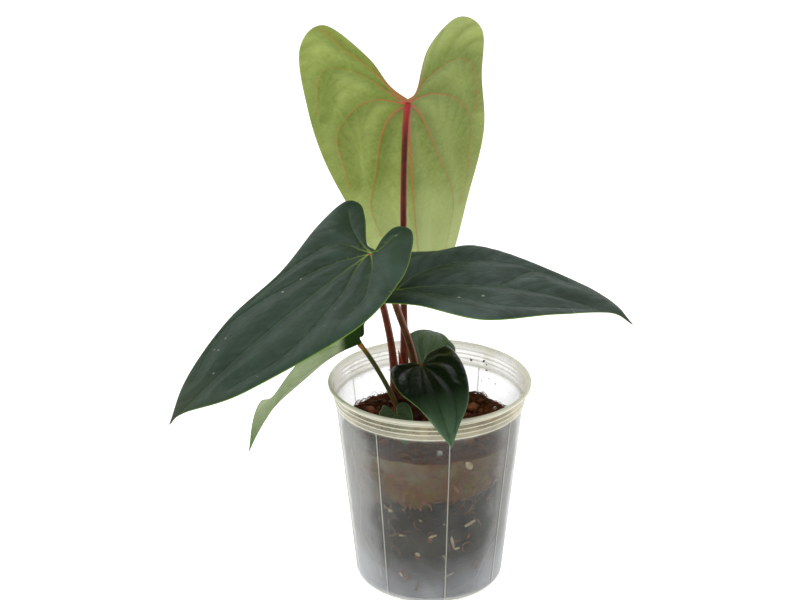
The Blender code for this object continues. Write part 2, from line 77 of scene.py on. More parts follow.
def buildStudio():
    lens = bpy.data.cameras.new("camera")
    lens.lens = studio["lens"]
    lens.sensor_width = 36.0
    lens.clip_start = 0.02
    view = bpy.data.objects.new("camera", lens)
    turn = Euler([math.radians(a) for a in studio["cameraTurn"]]).to_matrix()
    turn = turn @ Matrix.Rotation(math.radians(studio["cameraRoll"]), 3, "Z")
    view.matrix_world = Matrix.Translation(studio["cameraPlace"]) @ turn.to_4x4()
    bpy.context.scene.collection.objects.link(view)
    bpy.context.scene.camera = view
    bpy.context.scene.view_settings.view_transform = "Standard"
    for name in ("softbox", "fill"):
        spec = studio[name]
        light = bpy.data.lights.new(name, "AREA")
        light.shape = "DISK"
        light.size = spec["size"]
        light.energy = spec["power"]
        lamp = bpy.data.objects.new(name, light)
        lamp.location = spec["place"]
        aimAt(lamp, studio["lampAim"])
        bpy.context.scene.collection.objects.link(lamp)
    sky = bpy.data.worlds.new("studioSky")
    bpy.context.scene.world = sky
    sky.use_nodes = True
    tree = sky.node_tree
    tree.nodes.clear()
    where = addNode(tree, "ShaderNodeTexCoord")
    parts = addNode(tree, "ShaderNodeSeparateXYZ", {"Vector": where.outputs["Generated"]})
    level = span(tree, parts.outputs["Y"], *studio["skyTurn"], studio["skyFront"], studio["skyBright"])
    path = addNode(tree, "ShaderNodeLightPath")
    seen = mixFloat(tree, path.outputs["Is Camera Ray"], level, 1.0)
    glow = addNode(tree, "ShaderNodeBackground", {"Color": white, "Strength": seen})
    addNode(tree, "ShaderNodeOutputWorld", {"Surface": glow.outputs["Background"]})


def buildFloor():
    rings, sides, drop = studio["floorRings"], studio["floorSides"], studio["floorDrop"]
    verts = [(0.0, 0.0, -drop)]
    for ring in range(1, rings + 1):
        radius = studio["floorRadius"] * (ring / rings) ** 2
        verts += [(radius * math.cos(2 * math.pi * k / sides), radius * math.sin(2 * math.pi * k / sides), -drop)
                  for k in range(sides)]
    faces = [(0, 1 + k, 1 + (k + 1) % sides) for k in range(sides)]
    for ring in range(rings - 1):
        for k in range(sides):
            a, b = 1 + ring * sides + k, 1 + ring * sides + (k + 1) % sides
            faces.append((a, a + sides, b + sides, b))
    floor = meshObject("floor", verts, faces)
    material, tree, shader = newMaterial("palePaper", roughness=0.9, specular=0.1)
    grain = addNode(tree, "ShaderNodeTexNoise", {"Scale": studio["floorGrain"], "Detail": 3.0})
    tone = mixColor(tree, grain.outputs["Fac"], studio["floorTone"], studio["floorSpeck"])
    tree.links.new(tone, shader.inputs["Base Color"])
    shader.inputs["Emission Color"].default_value = white
    shader.inputs["Emission Strength"].default_value = studio["floorGlow"]
    floor.data.materials.append(material)


# shader helpers
def addNode(tree, kind, inputs=None, **settings):
    node = tree.nodes.new(kind)
    for key, value in settings.items():
        setattr(node, key, value)
    for key, value in (inputs or {}).items():
        if isinstance(value, bpy.types.NodeSocket):
            tree.links.new(value, node.inputs[key])
        else:
            node.inputs[key].default_value = value
    return node


def paintTone(tone):
    return tone if isinstance(tone, bpy.types.NodeSocket) or len(tone) == 4 else (*tone, 1.0)


def mixColor(tree, share, first, second):
    inputs = {0: share, 6: paintTone(first), 7: paintTone(second)}
    return addNode(tree, "ShaderNodeMix", inputs, data_type="RGBA").outputs[2]


def mixFloat(tree, share, first, second):
    return addNode(tree, "ShaderNodeMix", {0: share, 2: first, 3: second}, data_type="FLOAT").outputs[0]


def maths(tree, operation, first, second=0.0, clamp=False):
    return addNode(tree, "ShaderNodeMath", {0: first, 1: second}, operation=operation, use_clamp=clamp).outputs[0]


def span(tree, value, low, high, toLow=0.0, toHigh=1.0):
    return addNode(tree, "ShaderNodeMapRange", {"Value": value, "From Min": low, "From Max": high,
                                                "To Min": toLow, "To Max": toHigh}).outputs["Result"]


def attribute(tree, name, output="Fac"):
    return addNode(tree, "ShaderNodeAttribute", attribute_name=name).outputs[output]


def newMaterial(name, roughness=0.5, specular=0.5):
    material = bpy.data.materials.new(name)
    material.use_nodes = True
    tree = material.node_tree
    shader = tree.nodes["Principled BSDF"]
    shader.inputs["Roughness"].default_value = roughness
    shader.inputs["Specular IOR Level"].default_value = specular
    return material, tree, shader


def newGroup(name, takes, gives):
    group = bpy.data.node_groups.new(name, "ShaderNodeTree")
    for label, kind, value in takes:
        socket = group.interface.new_socket(label, in_out="INPUT", socket_type="NodeSocket" + kind)
        if value is not None:
            socket.default_value = value
    for label, kind in gives:
        group.interface.new_socket(label, in_out="OUTPUT", socket_type="NodeSocket" + kind)
    entry = group.nodes.new("NodeGroupInput").outputs
    leave = group.nodes.new("NodeGroupOutput").inputs
    return group, entry, leave


def useGroup(tree, group, inputs):
    node = tree.nodes.new("ShaderNodeGroup")
    node.node_tree = group
    for key, value in inputs.items():
        if isinstance(value, bpy.types.NodeSocket):
            tree.links.new(value, node.inputs[key])
        else:
            node.inputs[key].default_value = paintTone(value) if isinstance(value, tuple) else value
    return node.outputs


def bumpFrom(tree, shader, height, distance, strength=1.0):
    bump = addNode(tree, "ShaderNodeBump", {"Height": height, "Distance": distance, "Strength": strength})
    tree.links.new(bump.outputs["Normal"], shader.inputs["Normal"])


# soft uneven blotches, used by every natural surface
def buildMottle():
    group, entry, leave = newGroup("softMottle", [("Vector", "Vector", None), ("Scale", "Float", 60.0),
                                                  ("Contrast", "Float", 1.0)], [("Value", "Float")])
    broad = addNode(group, "ShaderNodeTexNoise", {"Vector": entry["Vector"], "Scale": entry["Scale"],
                                                  "Detail": 3.0, "Roughness": 0.55, "Distortion": 0.4})
    centred = maths(group, "SUBTRACT", broad.outputs["Fac"], 0.5)
    strong = maths(group, "MULTIPLY", centred, maths(group, "MULTIPLY", entry["Contrast"], 2.6))
    group.links.new(maths(group, "ADD", strong, 0.5, clamp=True), leave["Value"])
    return group


# thin light flecks: dust and scuffs
def buildFlecks():
    group, entry, leave = newGroup("lightFlecks", [("Vector", "Vector", None), ("Scale", "Float", 300.0),
                                                   ("Share", "Float", 0.1)], [("Mask", "Float")])
    cells = addNode(group, "ShaderNodeTexVoronoi", {"Vector": entry["Vector"], "Scale": entry["Scale"],
                                                    "Randomness": 1.0})
    some = addNode(group, "ShaderNodeSeparateColor", {"Color": cells.outputs["Color"]})
    chosen = maths(group, "LESS_THAN", some.outputs["Red"], entry["Share"])
    near = span(group, cells.outputs["Distance"], 0.12, 0.26, 1.0, 0.0)
    group.links.new(maths(group, "MULTIPLY", chosen, near), leave["Mask"])
    return group


# long streaks that follow one direction of the vector: fibres, stalk lines, wood
def buildStreaks():
    group, entry, leave = newGroup("longStreaks", [("Vector", "Vector", None), ("Scale", "Float", 200.0),
                                                   ("Stretch", "Float", 0.08)], [("Value", "Float")])
    shape = addNode(group, "ShaderNodeCombineXYZ", {"X": 1.0, "Y": 1.0, "Z": entry["Stretch"]})
    long = addNode(group, "ShaderNodeVectorMath", {0: entry["Vector"], 1: shape.outputs["Vector"]},
                   operation="MULTIPLY")
    noise = addNode(group, "ShaderNodeTexNoise", {"Vector": long.outputs["Vector"], "Scale": entry["Scale"],
                                                  "Detail": 4.0, "Roughness": 0.6, "Distortion": 0.2})
    group.links.new(span(group, noise.outputs["Fac"], 0.3, 0.7), leave["Value"])
    return group


# the colour, gloss and fine relief of one face of a blade
def buildBladeSkin(mottle, flecks):
    takes = [("Vector", "Vector", None), ("Vein", "Float", 0.0), ("Branch", "Float", 0.0), ("Puff", "Float", 0.0),
             ("Flush", "Float", 0.0), ("Margin", "Float", 0.0), ("Deep", "Color", None), ("Light", "Color", None),
             ("Vein Tone", "Color", None), ("Flush Tone", "Color", None), ("Branch Tone", "Color", None),
             ("Margin Glow Tone", "Color", None), ("Puff Highlight Share", "Float", 0.5), ("Branch Share", "Float", 0.3),
             ("Fleck Share", "Float", 0.02), ("Rough Low", "Float", 0.35), ("Rough High", "Float", 0.55)]
    group, entry, leave = newGroup("bladeSkin", takes, [("Color", "Color"), ("Rough", "Float"), ("Height", "Float")])
    broad = useGroup(group, mottle, {"Vector": entry["Vector"], "Scale": 55.0, "Contrast": 1.25})["Value"]
    small = useGroup(group, mottle, {"Vector": entry["Vector"], "Scale": 420.0, "Contrast": 0.8})["Value"]
    # painted highlight: the swell between the veins (Puff) is pushed towards the Light tone, mixed with random
    # blotches
    raised = mixFloat(group, entry["Puff Highlight Share"], broad, entry["Puff"])
    raised = mixFloat(group, 0.22, raised, small)
    tone = mixColor(group, raised, entry["Deep"], entry["Light"])
    tone = mixColor(group, maths(group, "MULTIPLY", entry["Branch"], entry["Branch Share"]), tone,
                    entry["Branch Tone"])
    veinTone = mixColor(group, entry["Flush"], entry["Vein Tone"], entry["Flush Tone"])
    tone = mixColor(group, entry["Vein"], tone, veinTone)
    dust = useGroup(group, flecks, {"Vector": entry["Vector"], "Scale": 260.0, "Share": entry["Fleck Share"]})["Mask"]
    tone = mixColor(group, maths(group, "MULTIPLY", dust, 0.5), tone, (0.50, 0.52, 0.44))
    # painted light: the thin rim is lifted to a bright yellow-green, as if lit through
    tone = mixColor(group, entry["Margin"], tone, entry["Margin Glow Tone"])
    group.links.new(tone, leave["Color"])
    rough = mixFloat(group, small, entry["Rough Low"], entry["Rough High"])
    group.links.new(maths(group, "ADD", rough, maths(group, "MULTIPLY", dust, 0.2), clamp=True), leave["Rough"])
    cells = addNode(group, "ShaderNodeTexVoronoi", {"Vector": entry["Vector"], "Scale": 900.0},
                    feature="SMOOTH_F1")
    wrinkle = addNode(group, "ShaderNodeTexNoise", {"Vector": entry["Vector"], "Scale": 350.0, "Detail": 3.0})
    height = maths(group, "ADD", cells.outputs["Distance"], maths(group, "MULTIPLY", wrinkle.outputs["Fac"], 1.2))
    group.links.new(height, leave["Height"])
    return group


# mesh helpers
def meshObject(name, verts, faces):
    mesh = bpy.data.meshes.new(name)
    mesh.from_pydata([tuple(map(float, v)) for v in verts], [], [tuple(map(int, f)) for f in faces])
    mesh.validate()
    mesh.polygons.foreach_set("use_smooth", [True] * len(mesh.polygons))
    thing = bpy.data.objects.new(name, mesh)
    bpy.context.scene.collection.objects.link(thing)
    return thing


def paint(thing, name, values):
    values = np.asarray(values, dtype=np.float32)
    kind, key = ("FLOAT", "value") if values.ndim == 1 else ("FLOAT_VECTOR", "vector")
    layer = thing.data.attributes.new(name, kind, "POINT")
    layer.data.foreach_set(key, values.ravel())


def place(thing, material, slotName, *nodes):
    thing.data.materials.append(material)
    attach(thing, "root")
    if nodes:
        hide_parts(*nodes)
    return thing


def curveThrough(a, b, c, d, fine):
    t = (np.arange(fine) / fine)[None, :, None]
    a, b, c, d = (np.asarray(v, float)[:, None, :] for v in (a, b, c, d))
    curve = 0.5 * (2 * b + (c - a) * t + (2 * a - 5 * b + 4 * c - d) * t * t + (3 * b - a - 3 * c + d) * t ** 3)
    return curve.reshape(-1, a.shape[2])


def smoothLine(points, fine=12):
    points = np.array(points, float)
    ends = np.vstack([2 * points[0] - points[1], points, 2 * points[-1] - points[-2]])
    return np.vstack([curveThrough(ends[:-3], ends[1:-2], ends[2:-1], ends[3:], fine), points[-1:]])


def evenSteps(line, step):
    reach = np.concatenate([[0.0], np.cumsum(np.linalg.norm(np.diff(line, axis=0), axis=1))])
    count = max(2, int(round(reach[-1] / step)) + 1)
    marks = np.linspace(0.0, reach[-1], count)
    return np.stack([np.interp(marks, reach, line[:, k]) for k in range(line.shape[1])], -1)


def bezier(points, count):
    a, b, c, d = (np.array(p, float) for p in points)
    t = np.linspace(0, 1, count)[:, None]
    s = 1 - t
    return a * s ** 3 + 3 * b * s * s * t + 3 * c * s * t * t + d * t ** 3


# skin over stacked rings of points, with both ends capped
def ringFaces(rows, sides):
    faces = []
    for row in range(rows - 1):
        for k in range(sides):
            a, b = row * sides + k, row * sides + (k + 1) % sides
            faces.append((a, b, b + sides, a + sides))
    faces.append(tuple(range(sides))[::-1])
    faces.append(tuple((rows - 1) * sides + k for k in range(sides)))
    return faces


# a round rod along a path; ridge gives small lengthwise ribs, start says which way the first corner points
def tube(path, radii, sides, ridge=0.0, ribs=0, start=(0.31, 0.87, 0.38)):
    path = np.array(path, float)
    radii = np.broadcast_to(np.array(radii, float), (len(path),))
    pulls = np.gradient(path, axis=0)
    pulls /= np.linalg.norm(pulls, axis=1)[:, None]
    across = np.cross(pulls[0], start)
    angles = 2 * np.pi * np.arange(sides) / sides
    verts = []
    for point, pull, radius in zip(path, pulls, radii):
        across = across - pull * across.dot(pull)
        across /= np.linalg.norm(across)
        other = np.cross(pull, across)
        grow = radius * (1 + ridge * np.cos(ribs * angles))[:, None]
        verts.append(point + grow * (np.cos(angles)[:, None] * across + np.sin(angles)[:, None] * other))
    verts = np.vstack(verts)
    faces = ringFaces(len(path), sides)
    along = np.repeat(np.linspace(0, 1, len(path)), sides)
    return verts, faces, along


def joinParts(parts):
    verts, faces, count = [], [], 0
    for part in parts:
        verts.append(np.asarray(part[0], float))
        faces += [tuple(i + count for i in face) for face in part[1]]
        count += len(part[0])
    return np.vstack(verts), faces


# leaf blades, in metres
blade = {
    "thickness": 0.0006, "edgeThickness": 0.00042,
    "edgeStep": 0.0014, "gridStep": 0.0021, "veinStep": 0.0012,
    "quiltRise": 0.0019, "fineRise": 0.00060, "veinSink": 0.00055, "veinRidge": 0.00045,
}
# side veins, from the stalk outwards: points as shares of the midrib, then the half width in mm
commonVeins = [
    ([(0.0, 0.0), (0.06, -0.06), (0.14, -0.12), (0.22, -0.15), (0.28, -0.12)], 0.30),
    ([(0.0, 0.0), (0.09, -0.02), (0.20, 0.01), (0.27, 0.09), (0.29, 0.20), (0.28, 0.30)], 0.34),
    ([(0.0, 0.01), (0.05, 0.08), (0.11, 0.20), (0.16, 0.35), (0.18, 0.50), (0.14, 0.70), (0.07, 0.86)], 0.34),
]
leaves = {
    "back": {
        "at": (-0.0129, 0.034, 0.2832), "heading": 88.0, "rise": -62.5, "roll": 21.0,
        "length": 0.148, "fold": 0.27, "cup": 0.13, "bend": 0.26, "lobe": 0.0, "twist": -0.04,
        "right": ((0.04, -0.05), (0.10, -0.23), (0.24, -0.305), (0.357, -0.18), (0.355, 0.045),
                  (0.36, 0.325), (0.26, 0.615), (0.145, 0.885)),
        "left": ((0.07, -0.10), (0.15, -0.25), (0.30, -0.405), (0.395, -0.285), (0.385, 0.02),
                 (0.34, 0.285), (0.25, 0.565), (0.17, 0.80)),
        "veins": [
            ([(0.0, 0.0), (0.02, -0.04), (0.04, -0.085), (0.074, -0.155), (0.104, -0.193), (0.143, -0.22),
              (0.20, -0.24), (0.263, -0.236)], 0.42),
            ([(0.0, 0.0), (0.03, -0.03), (0.055, -0.062), (0.102, -0.092), (0.165, -0.109), (0.221, -0.109),
              (0.27, -0.084), (0.311, -0.033), (0.319, 0.03), (0.327, 0.10), (0.325, 0.20)], 0.34),
            ([(0.0, 0.0), (0.027, -0.006), (0.061, -0.009), (0.124, 0.01), (0.195, 0.059), (0.251, 0.122),
              (0.283, 0.194), (0.298, 0.269), (0.291, 0.332), (0.276, 0.392), (0.268, 0.50), (0.22, 0.62)], 0.36),
            ([(0.0, 0.005), (0.022, 0.025), (0.055, 0.087), (0.087, 0.18), (0.122, 0.305), (0.157, 0.42),
              (0.181, 0.501), (0.189, 0.569), (0.184, 0.643), (0.161, 0.717), (0.13, 0.80), (0.06, 0.90)], 0.46),
            ([(0.0, 0.0), (-0.018, -0.02), (-0.061, -0.075), (-0.108, -0.146), (-0.153, -0.206), (-0.198, -0.256),
              (-0.234, -0.292), (-0.258, -0.322), (-0.285, -0.362), (-0.311, -0.39)], 0.46),
            ([(0.0, 0.0), (-0.023, -0.012), (-0.071, -0.062), (-0.113, -0.108), (-0.155, -0.145), (-0.202, -0.178),
              (-0.244, -0.194), (-0.291, -0.196), (-0.315, -0.179), (-0.335, -0.14), (-0.346, -0.05),
              (-0.347, 0.05)], 0.38),
            ([(0.0, 0.0), (-0.023, -0.005), (-0.068, -0.021), (-0.116, -0.031), (-0.161, -0.022), (-0.201, 0.007),
              (-0.243, 0.061), (-0.274, 0.119), (-0.284, 0.165), (-0.283, 0.218), (-0.27, 0.30),
              (-0.25, 0.42)], 0.36),
            ([(0.0, 0.005), (-0.024, 0.018), (-0.055, 0.038), (-0.087, 0.088), (-0.106, 0.139), (-0.122, 0.204),
              (-0.134, 0.283), (-0.146, 0.355), (-0.165, 0.44), (-0.178, 0.537), (-0.15, 0.66),
              (-0.08, 0.82)], 0.46),
        ],
        "midrib": 0.85, "veinFade": 0.25, "quilt": 1.5, "redEdge": True,
    },
    "left": {
        "at": (-0.0322, -0.038, 0.2178), "heading": 217.1, "rise": -20.4, "roll": -2.3,
        "length": 0.1453, "fold": 0.04, "cup": 0.0, "bend": 0.24, "lobe": 0.06, "twist": 0.01,
        "right": ((0.075, -0.035), (0.23, -0.142), (0.347, -0.20), (0.422, -0.174), (0.38, -0.013),
                  (0.258, 0.262), (0.226, 0.543), (0.127, 0.823)),
        "left": ((-0.045, -0.095), (-0.054, -0.168), (0.03, -0.178), (0.156, -0.085), (0.295, 0.08),
                 (0.367, 0.35), (0.20, 0.75), (0.015, 0.934)),
        "veins": [
            ([(0.0, 0.01), (0.04, 0.06), (0.079, 0.108), (0.11, 0.165), (0.128, 0.215), (0.146, 0.297),
              (0.173, 0.381), (0.188, 0.457), (0.198, 0.538), (0.19, 0.60), (0.15, 0.70), (0.08, 0.82)], 0.34),
            ([(0.0, 0.0), (0.064, 0.008), (0.136, 0.012), (0.187, 0.03), (0.219, 0.063), (0.228, 0.114),
              (0.235, 0.17), (0.234, 0.235), (0.234, 0.299), (0.228, 0.364), (0.215, 0.45)], 0.32),
            ([(0.0, 0.0), (0.079, -0.018), (0.182, -0.054), (0.27, -0.095), (0.337, -0.135)], 0.34),
            ([(0.0, 0.03), (-0.05, 0.12), (-0.117, 0.218), (-0.156, 0.331), (-0.189, 0.431), (-0.20, 0.539),
              (-0.185, 0.62), (-0.11, 0.78)], 0.34),
            ([(0.0, 0.005), (-0.032, 0.021), (-0.10, 0.067), (-0.171, 0.135), (-0.236, 0.20), (-0.27, 0.30)], 0.3),
            ([(0.0, 0.0), (-0.012, -0.02), (-0.008, -0.06), (0.01, -0.11), (0.0, -0.14)], 0.26),
        ],
        "midrib": 0.55, "veinFade": 0.5, "quilt": 1.2,
    },
    "right": {
        "at": (-0.0202, -0.042, 0.1972), "heading": -0.9, "rise": 10.5, "roll": -2.8,
        "length": 0.136, "fold": 0.08, "cup": -0.04, "bend": 0.66, "lobe": 0.12, "twist": 0.04,
        "right": ((0.045, -0.045), (0.06, -0.075), (0.09, -0.09), (0.13, -0.02), (0.20, 0.10),
                  (0.383, 0.36), (0.21, 0.653), (-0.02, 0.90)),
        "left": ((0.085, -0.04), (0.16, -0.14), (0.26, -0.21), (0.378, -0.135), (0.325, 0.155),
                 (0.383, 0.34), (0.253, 0.645), (0.14, 0.91)),
        "veins": [
            ([(0.0, 0.01), (-0.08, 0.064), (-0.139, 0.122), (-0.181, 0.187), (-0.215, 0.253), (-0.236, 0.325),
              (-0.241, 0.398), (-0.232, 0.464), (-0.236, 0.511), (-0.214, 0.58), (-0.17, 0.72)], 0.36),
            ([(0.0, 0.42), (-0.059, 0.469), (-0.113, 0.50), (-0.159, 0.535), (-0.198, 0.583), (-0.20, 0.65)], 0.26),
            ([(0.0, 0.0), (-0.08, -0.02), (-0.17, -0.05), (-0.24, -0.09), (-0.28, -0.08)], 0.30),
            ([(0.0, 0.02), (0.05, 0.09), (0.11, 0.20), (0.177, 0.33), (0.215, 0.42), (0.20, 0.52),
              (0.12, 0.68), (0.02, 0.82)], 0.32),
        ],
        "midrib": 0.55, "veinFade": 0.6, "quilt": 1.2,
    },
    "front": {
        "at": (-0.0043, -0.028, 0.1462), "heading": -74.7, "rise": -7.0, "roll": -8.7,
        "length": 0.0595, "fold": -0.06, "cup": 0.08, "bend": 0.75, "lobe": 0.38, "twist": 0.13,
        "right": ((0.03, -0.05), (0.08, -0.105), (0.19, -0.135), (0.283, -0.085), (0.322, 0.08),
                  (0.302, 0.316), (0.174, 0.57), (0.078, 0.83)),
        "left": ((0.05, -0.10), (0.112, -0.20), (0.235, -0.25), (0.33, -0.245), (0.37, 0.015),
                 (0.358, 0.32), (0.282, 0.585), (0.12, 0.82)),
        "midrib": 0.40, "veinFade": 0.5, "quilt": 1.6,
    },
    "low": {
        "at": (-0.0410, -0.010, 0.1525), "heading": 202.7, "rise": -12.5, "roll": -40.8,
        "length": 0.0926, "fold": 0.40, "cup": -0.52, "bend": 0.82, "lobe": -0.03, "twist": -0.18,
        "right": ((0.116, 0.02), (0.177, -0.039), (0.239, -0.055), (0.31, -0.044), (0.318, 0.086),
                  (0.42, 0.34), (0.311, 0.627), (0.101, 0.919)),
        "left": ((0.068, -0.005), (0.096, -0.033), (0.217, -0.029), (0.311, -0.036), (0.354, 0.054),
                 (0.249, 0.272), (0.096, 0.635), (0.188, 0.761)),
        "midrib": 0.45, "veinFade": 0.4, "quilt": 0.6,
    },
    "rear": {
        "at": (-0.0039, 0.0105, 0.1300), "heading": 77.5, "rise": 29.0, "roll": -7.5,
        "length": 0.0446, "fold": 0.17, "cup": 0.11, "bend": 0.86, "lobe": 0.10, "twist": -0.03,
        "right": ((0.06, -0.06), (0.12, -0.12), (0.22, -0.15), (0.32, -0.10), (0.375, 0.05),
                  (0.38, 0.31), (0.245, 0.565), (0.115, 0.825)),
        "left": ((0.05, -0.05), (0.10, -0.08), (0.15, -0.06), (0.20, 0.03), (0.265, 0.16),
                 (0.32, 0.355), (0.255, 0.59), (0.12, 0.87)),
        "midrib": 0.35, "veinFade": 0.4, "quilt": 1.6,
    },
    "tiny": {
        "at": (-0.0196, -0.0205, 0.1125), "heading": -73.7, "rise": -15.7, "roll": -1.8,
        "length": 0.0240, "fold": 0.15, "cup": 0.10, "bend": 0.30, "lobe": 0.08, "twist": 0.01,
        "right": ((0.06, -0.10), (0.115, -0.235), (0.225, -0.32), (0.31, -0.18), (0.42, 0.01),
                  (0.355, 0.30), (0.25, 0.58), (0.12, 0.84)),
        "left": ((0.055, -0.105), (0.105, -0.255), (0.235, -0.34), (0.35, -0.225), (0.38, 0.03),
                 (0.345, 0.30), (0.25, 0.58), (0.12, 0.84)),
        "midrib": 0.28, "veinFade": 0.4, "quilt": 0.5,
    },
}


def leafAxes(leaf):
    heading, rise, roll = (math.radians(leaf[k]) for k in ("heading", "rise", "roll"))
    along = np.array((math.cos(heading) * math.cos(rise), math.sin(heading) * math.cos(rise), math.sin(rise)))
    up = np.array((-math.cos(heading) * math.sin(rise), -math.sin(heading) * math.sin(rise), math.cos(rise)))
    side = np.cross(along, up)
    return side * math.cos(roll) + up * math.sin(roll), along, up * math.cos(roll) - side * math.sin(roll)


# carries flat leaf points, in metres from the stalk, to their place in the air
def leafSurface(leaf, flat):
    length = leaf["length"]
    x, y = flat[:, 0], flat[:, 1]
    soft = 0.03 * length
    height = (np.sqrt(x * x + soft * soft) - soft) * math.sin(leaf["fold"]) + leaf["cup"] * x * x / length
    x = x * math.cos(leaf["fold"])
    curl = np.where(y >= 0, leaf["bend"] or 1e-4, leaf["lobe"] or 1e-4) / length
    turn = curl * y
    spin = leaf["twist"] * y / length
    across = x * np.cos(spin) - height * np.sin(spin)
    lift = x * np.sin(spin) + height * np.cos(spin)
    along = np.sin(turn) / curl + lift * np.sin(turn)
    up = (np.cos(turn) - 1) / curl + lift * np.cos(turn)
    sideways, forwards, upwards = leafAxes(leaf)
    return (np.array(leaf["at"]) + across[:, None] * sideways + along[:, None] * forwards + up[:, None] * upwards)


def insideLoop(points, loop):
    ends = np.roll(loop, -1, axis=0)
    ax, ay, bx, by = loop[:, 0], loop[:, 1], ends[:, 0], ends[:, 1]
    x, y = points[:, :1], points[:, 1:]
    crosses = (ay > y) != (by > y)
    rise = np.where(by == ay, 1.0, by - ay)
    return (crosses & (x < (bx - ax) * (y - ay) / rise + ax)).sum(1) % 2 == 1


# shortest distance from each point to a set of lines
def distanceTo(points, lines):
    starts = np.vstack([line[:-1] for line in lines])
    ends = np.vstack([line[1:] for line in lines])
    way = ends - starts
    size = np.maximum((way ** 2).sum(1), 1e-12)
    best = np.empty(len(points))
    for first in range(0, len(points), 1500):
        some = points[first:first + 1500]
        share = ((some[:, None, :] - starts[None]) * way[None]).sum(2) / size
        gap = some[:, None, :] - starts[None] - np.clip(share, 0, 1)[..., None] * way[None]
        best[first:first + 1500] = np.sqrt((gap ** 2).sum(2).min(1))
    return best


# the same, for many lines, where only gaps up to a reach matter
def nearGap(points, lines, reach):
    best = np.full(len(points), reach)
    for line in lines:
        low, high = line.min(0) - reach, line.max(0) + reach
        close = np.flatnonzero(((points > low) & (points < high)).all(1))
        if len(close):
            best[close] = np.minimum(best[close], distanceTo(points[close], [line]))
    return best


def sideSteps(line):
    pull = np.gradient(line, axis=0)
    pull /= np.linalg.norm(pull, axis=1)[:, None]
    return np.stack([pull[:, 1], -pull[:, 0]], -1)


# finer veins that leave each main vein and lean towards the tip, all grown together
def fineVeins(mains, edge, length):
    pitch, stride = 0.072 * length, 0.022 * length
    loop = np.vstack([edge, edge[:1]])
    spots, ways, owners = [], [], []
    for number, main in enumerate(mains):
        line = evenSteps(main, pitch)
        pulls = np.gradient(line, axis=0)
        pulls /= np.linalg.norm(pulls, axis=1)[:, None]
        for k in range(1 if number == 0 else 2, len(line) - 1):
            for lean in (math.radians(-52), math.radians(52)):
                x, y = pulls[k]
                spots.append(line[k])
                ways.append((x * math.cos(lean) - y * math.sin(lean), x * math.sin(lean) + y * math.cos(lean)))
                owners.append(number)
    if not spots:
        return []
    spots, ways, owners = np.array(spots), np.array(ways), np.array(owners)
    paths = [[spot] for spot in spots]
    growing = np.ones(len(spots), bool)
    for step in range(16):
        ways = ways + (0.0, 0.10)
        ways /= np.linalg.norm(ways, axis=1)[:, None]
        spots = spots + ways * stride
        growing &= insideLoop(spots, edge)
        for k in np.flatnonzero(growing):
            paths[k].append(spots[k])
        gaps = np.stack([distanceTo(spots, [main]) for main in mains])
        gaps[owners, np.arange(len(spots))] = 1.0
        growing &= distanceTo(spots, [loop]) > 0.018 * length
        if step > 0:
            growing &= gaps.min(0) > 0.014 * length
    return [smoothLine(path, 3) for path in paths if len(path) > 3]


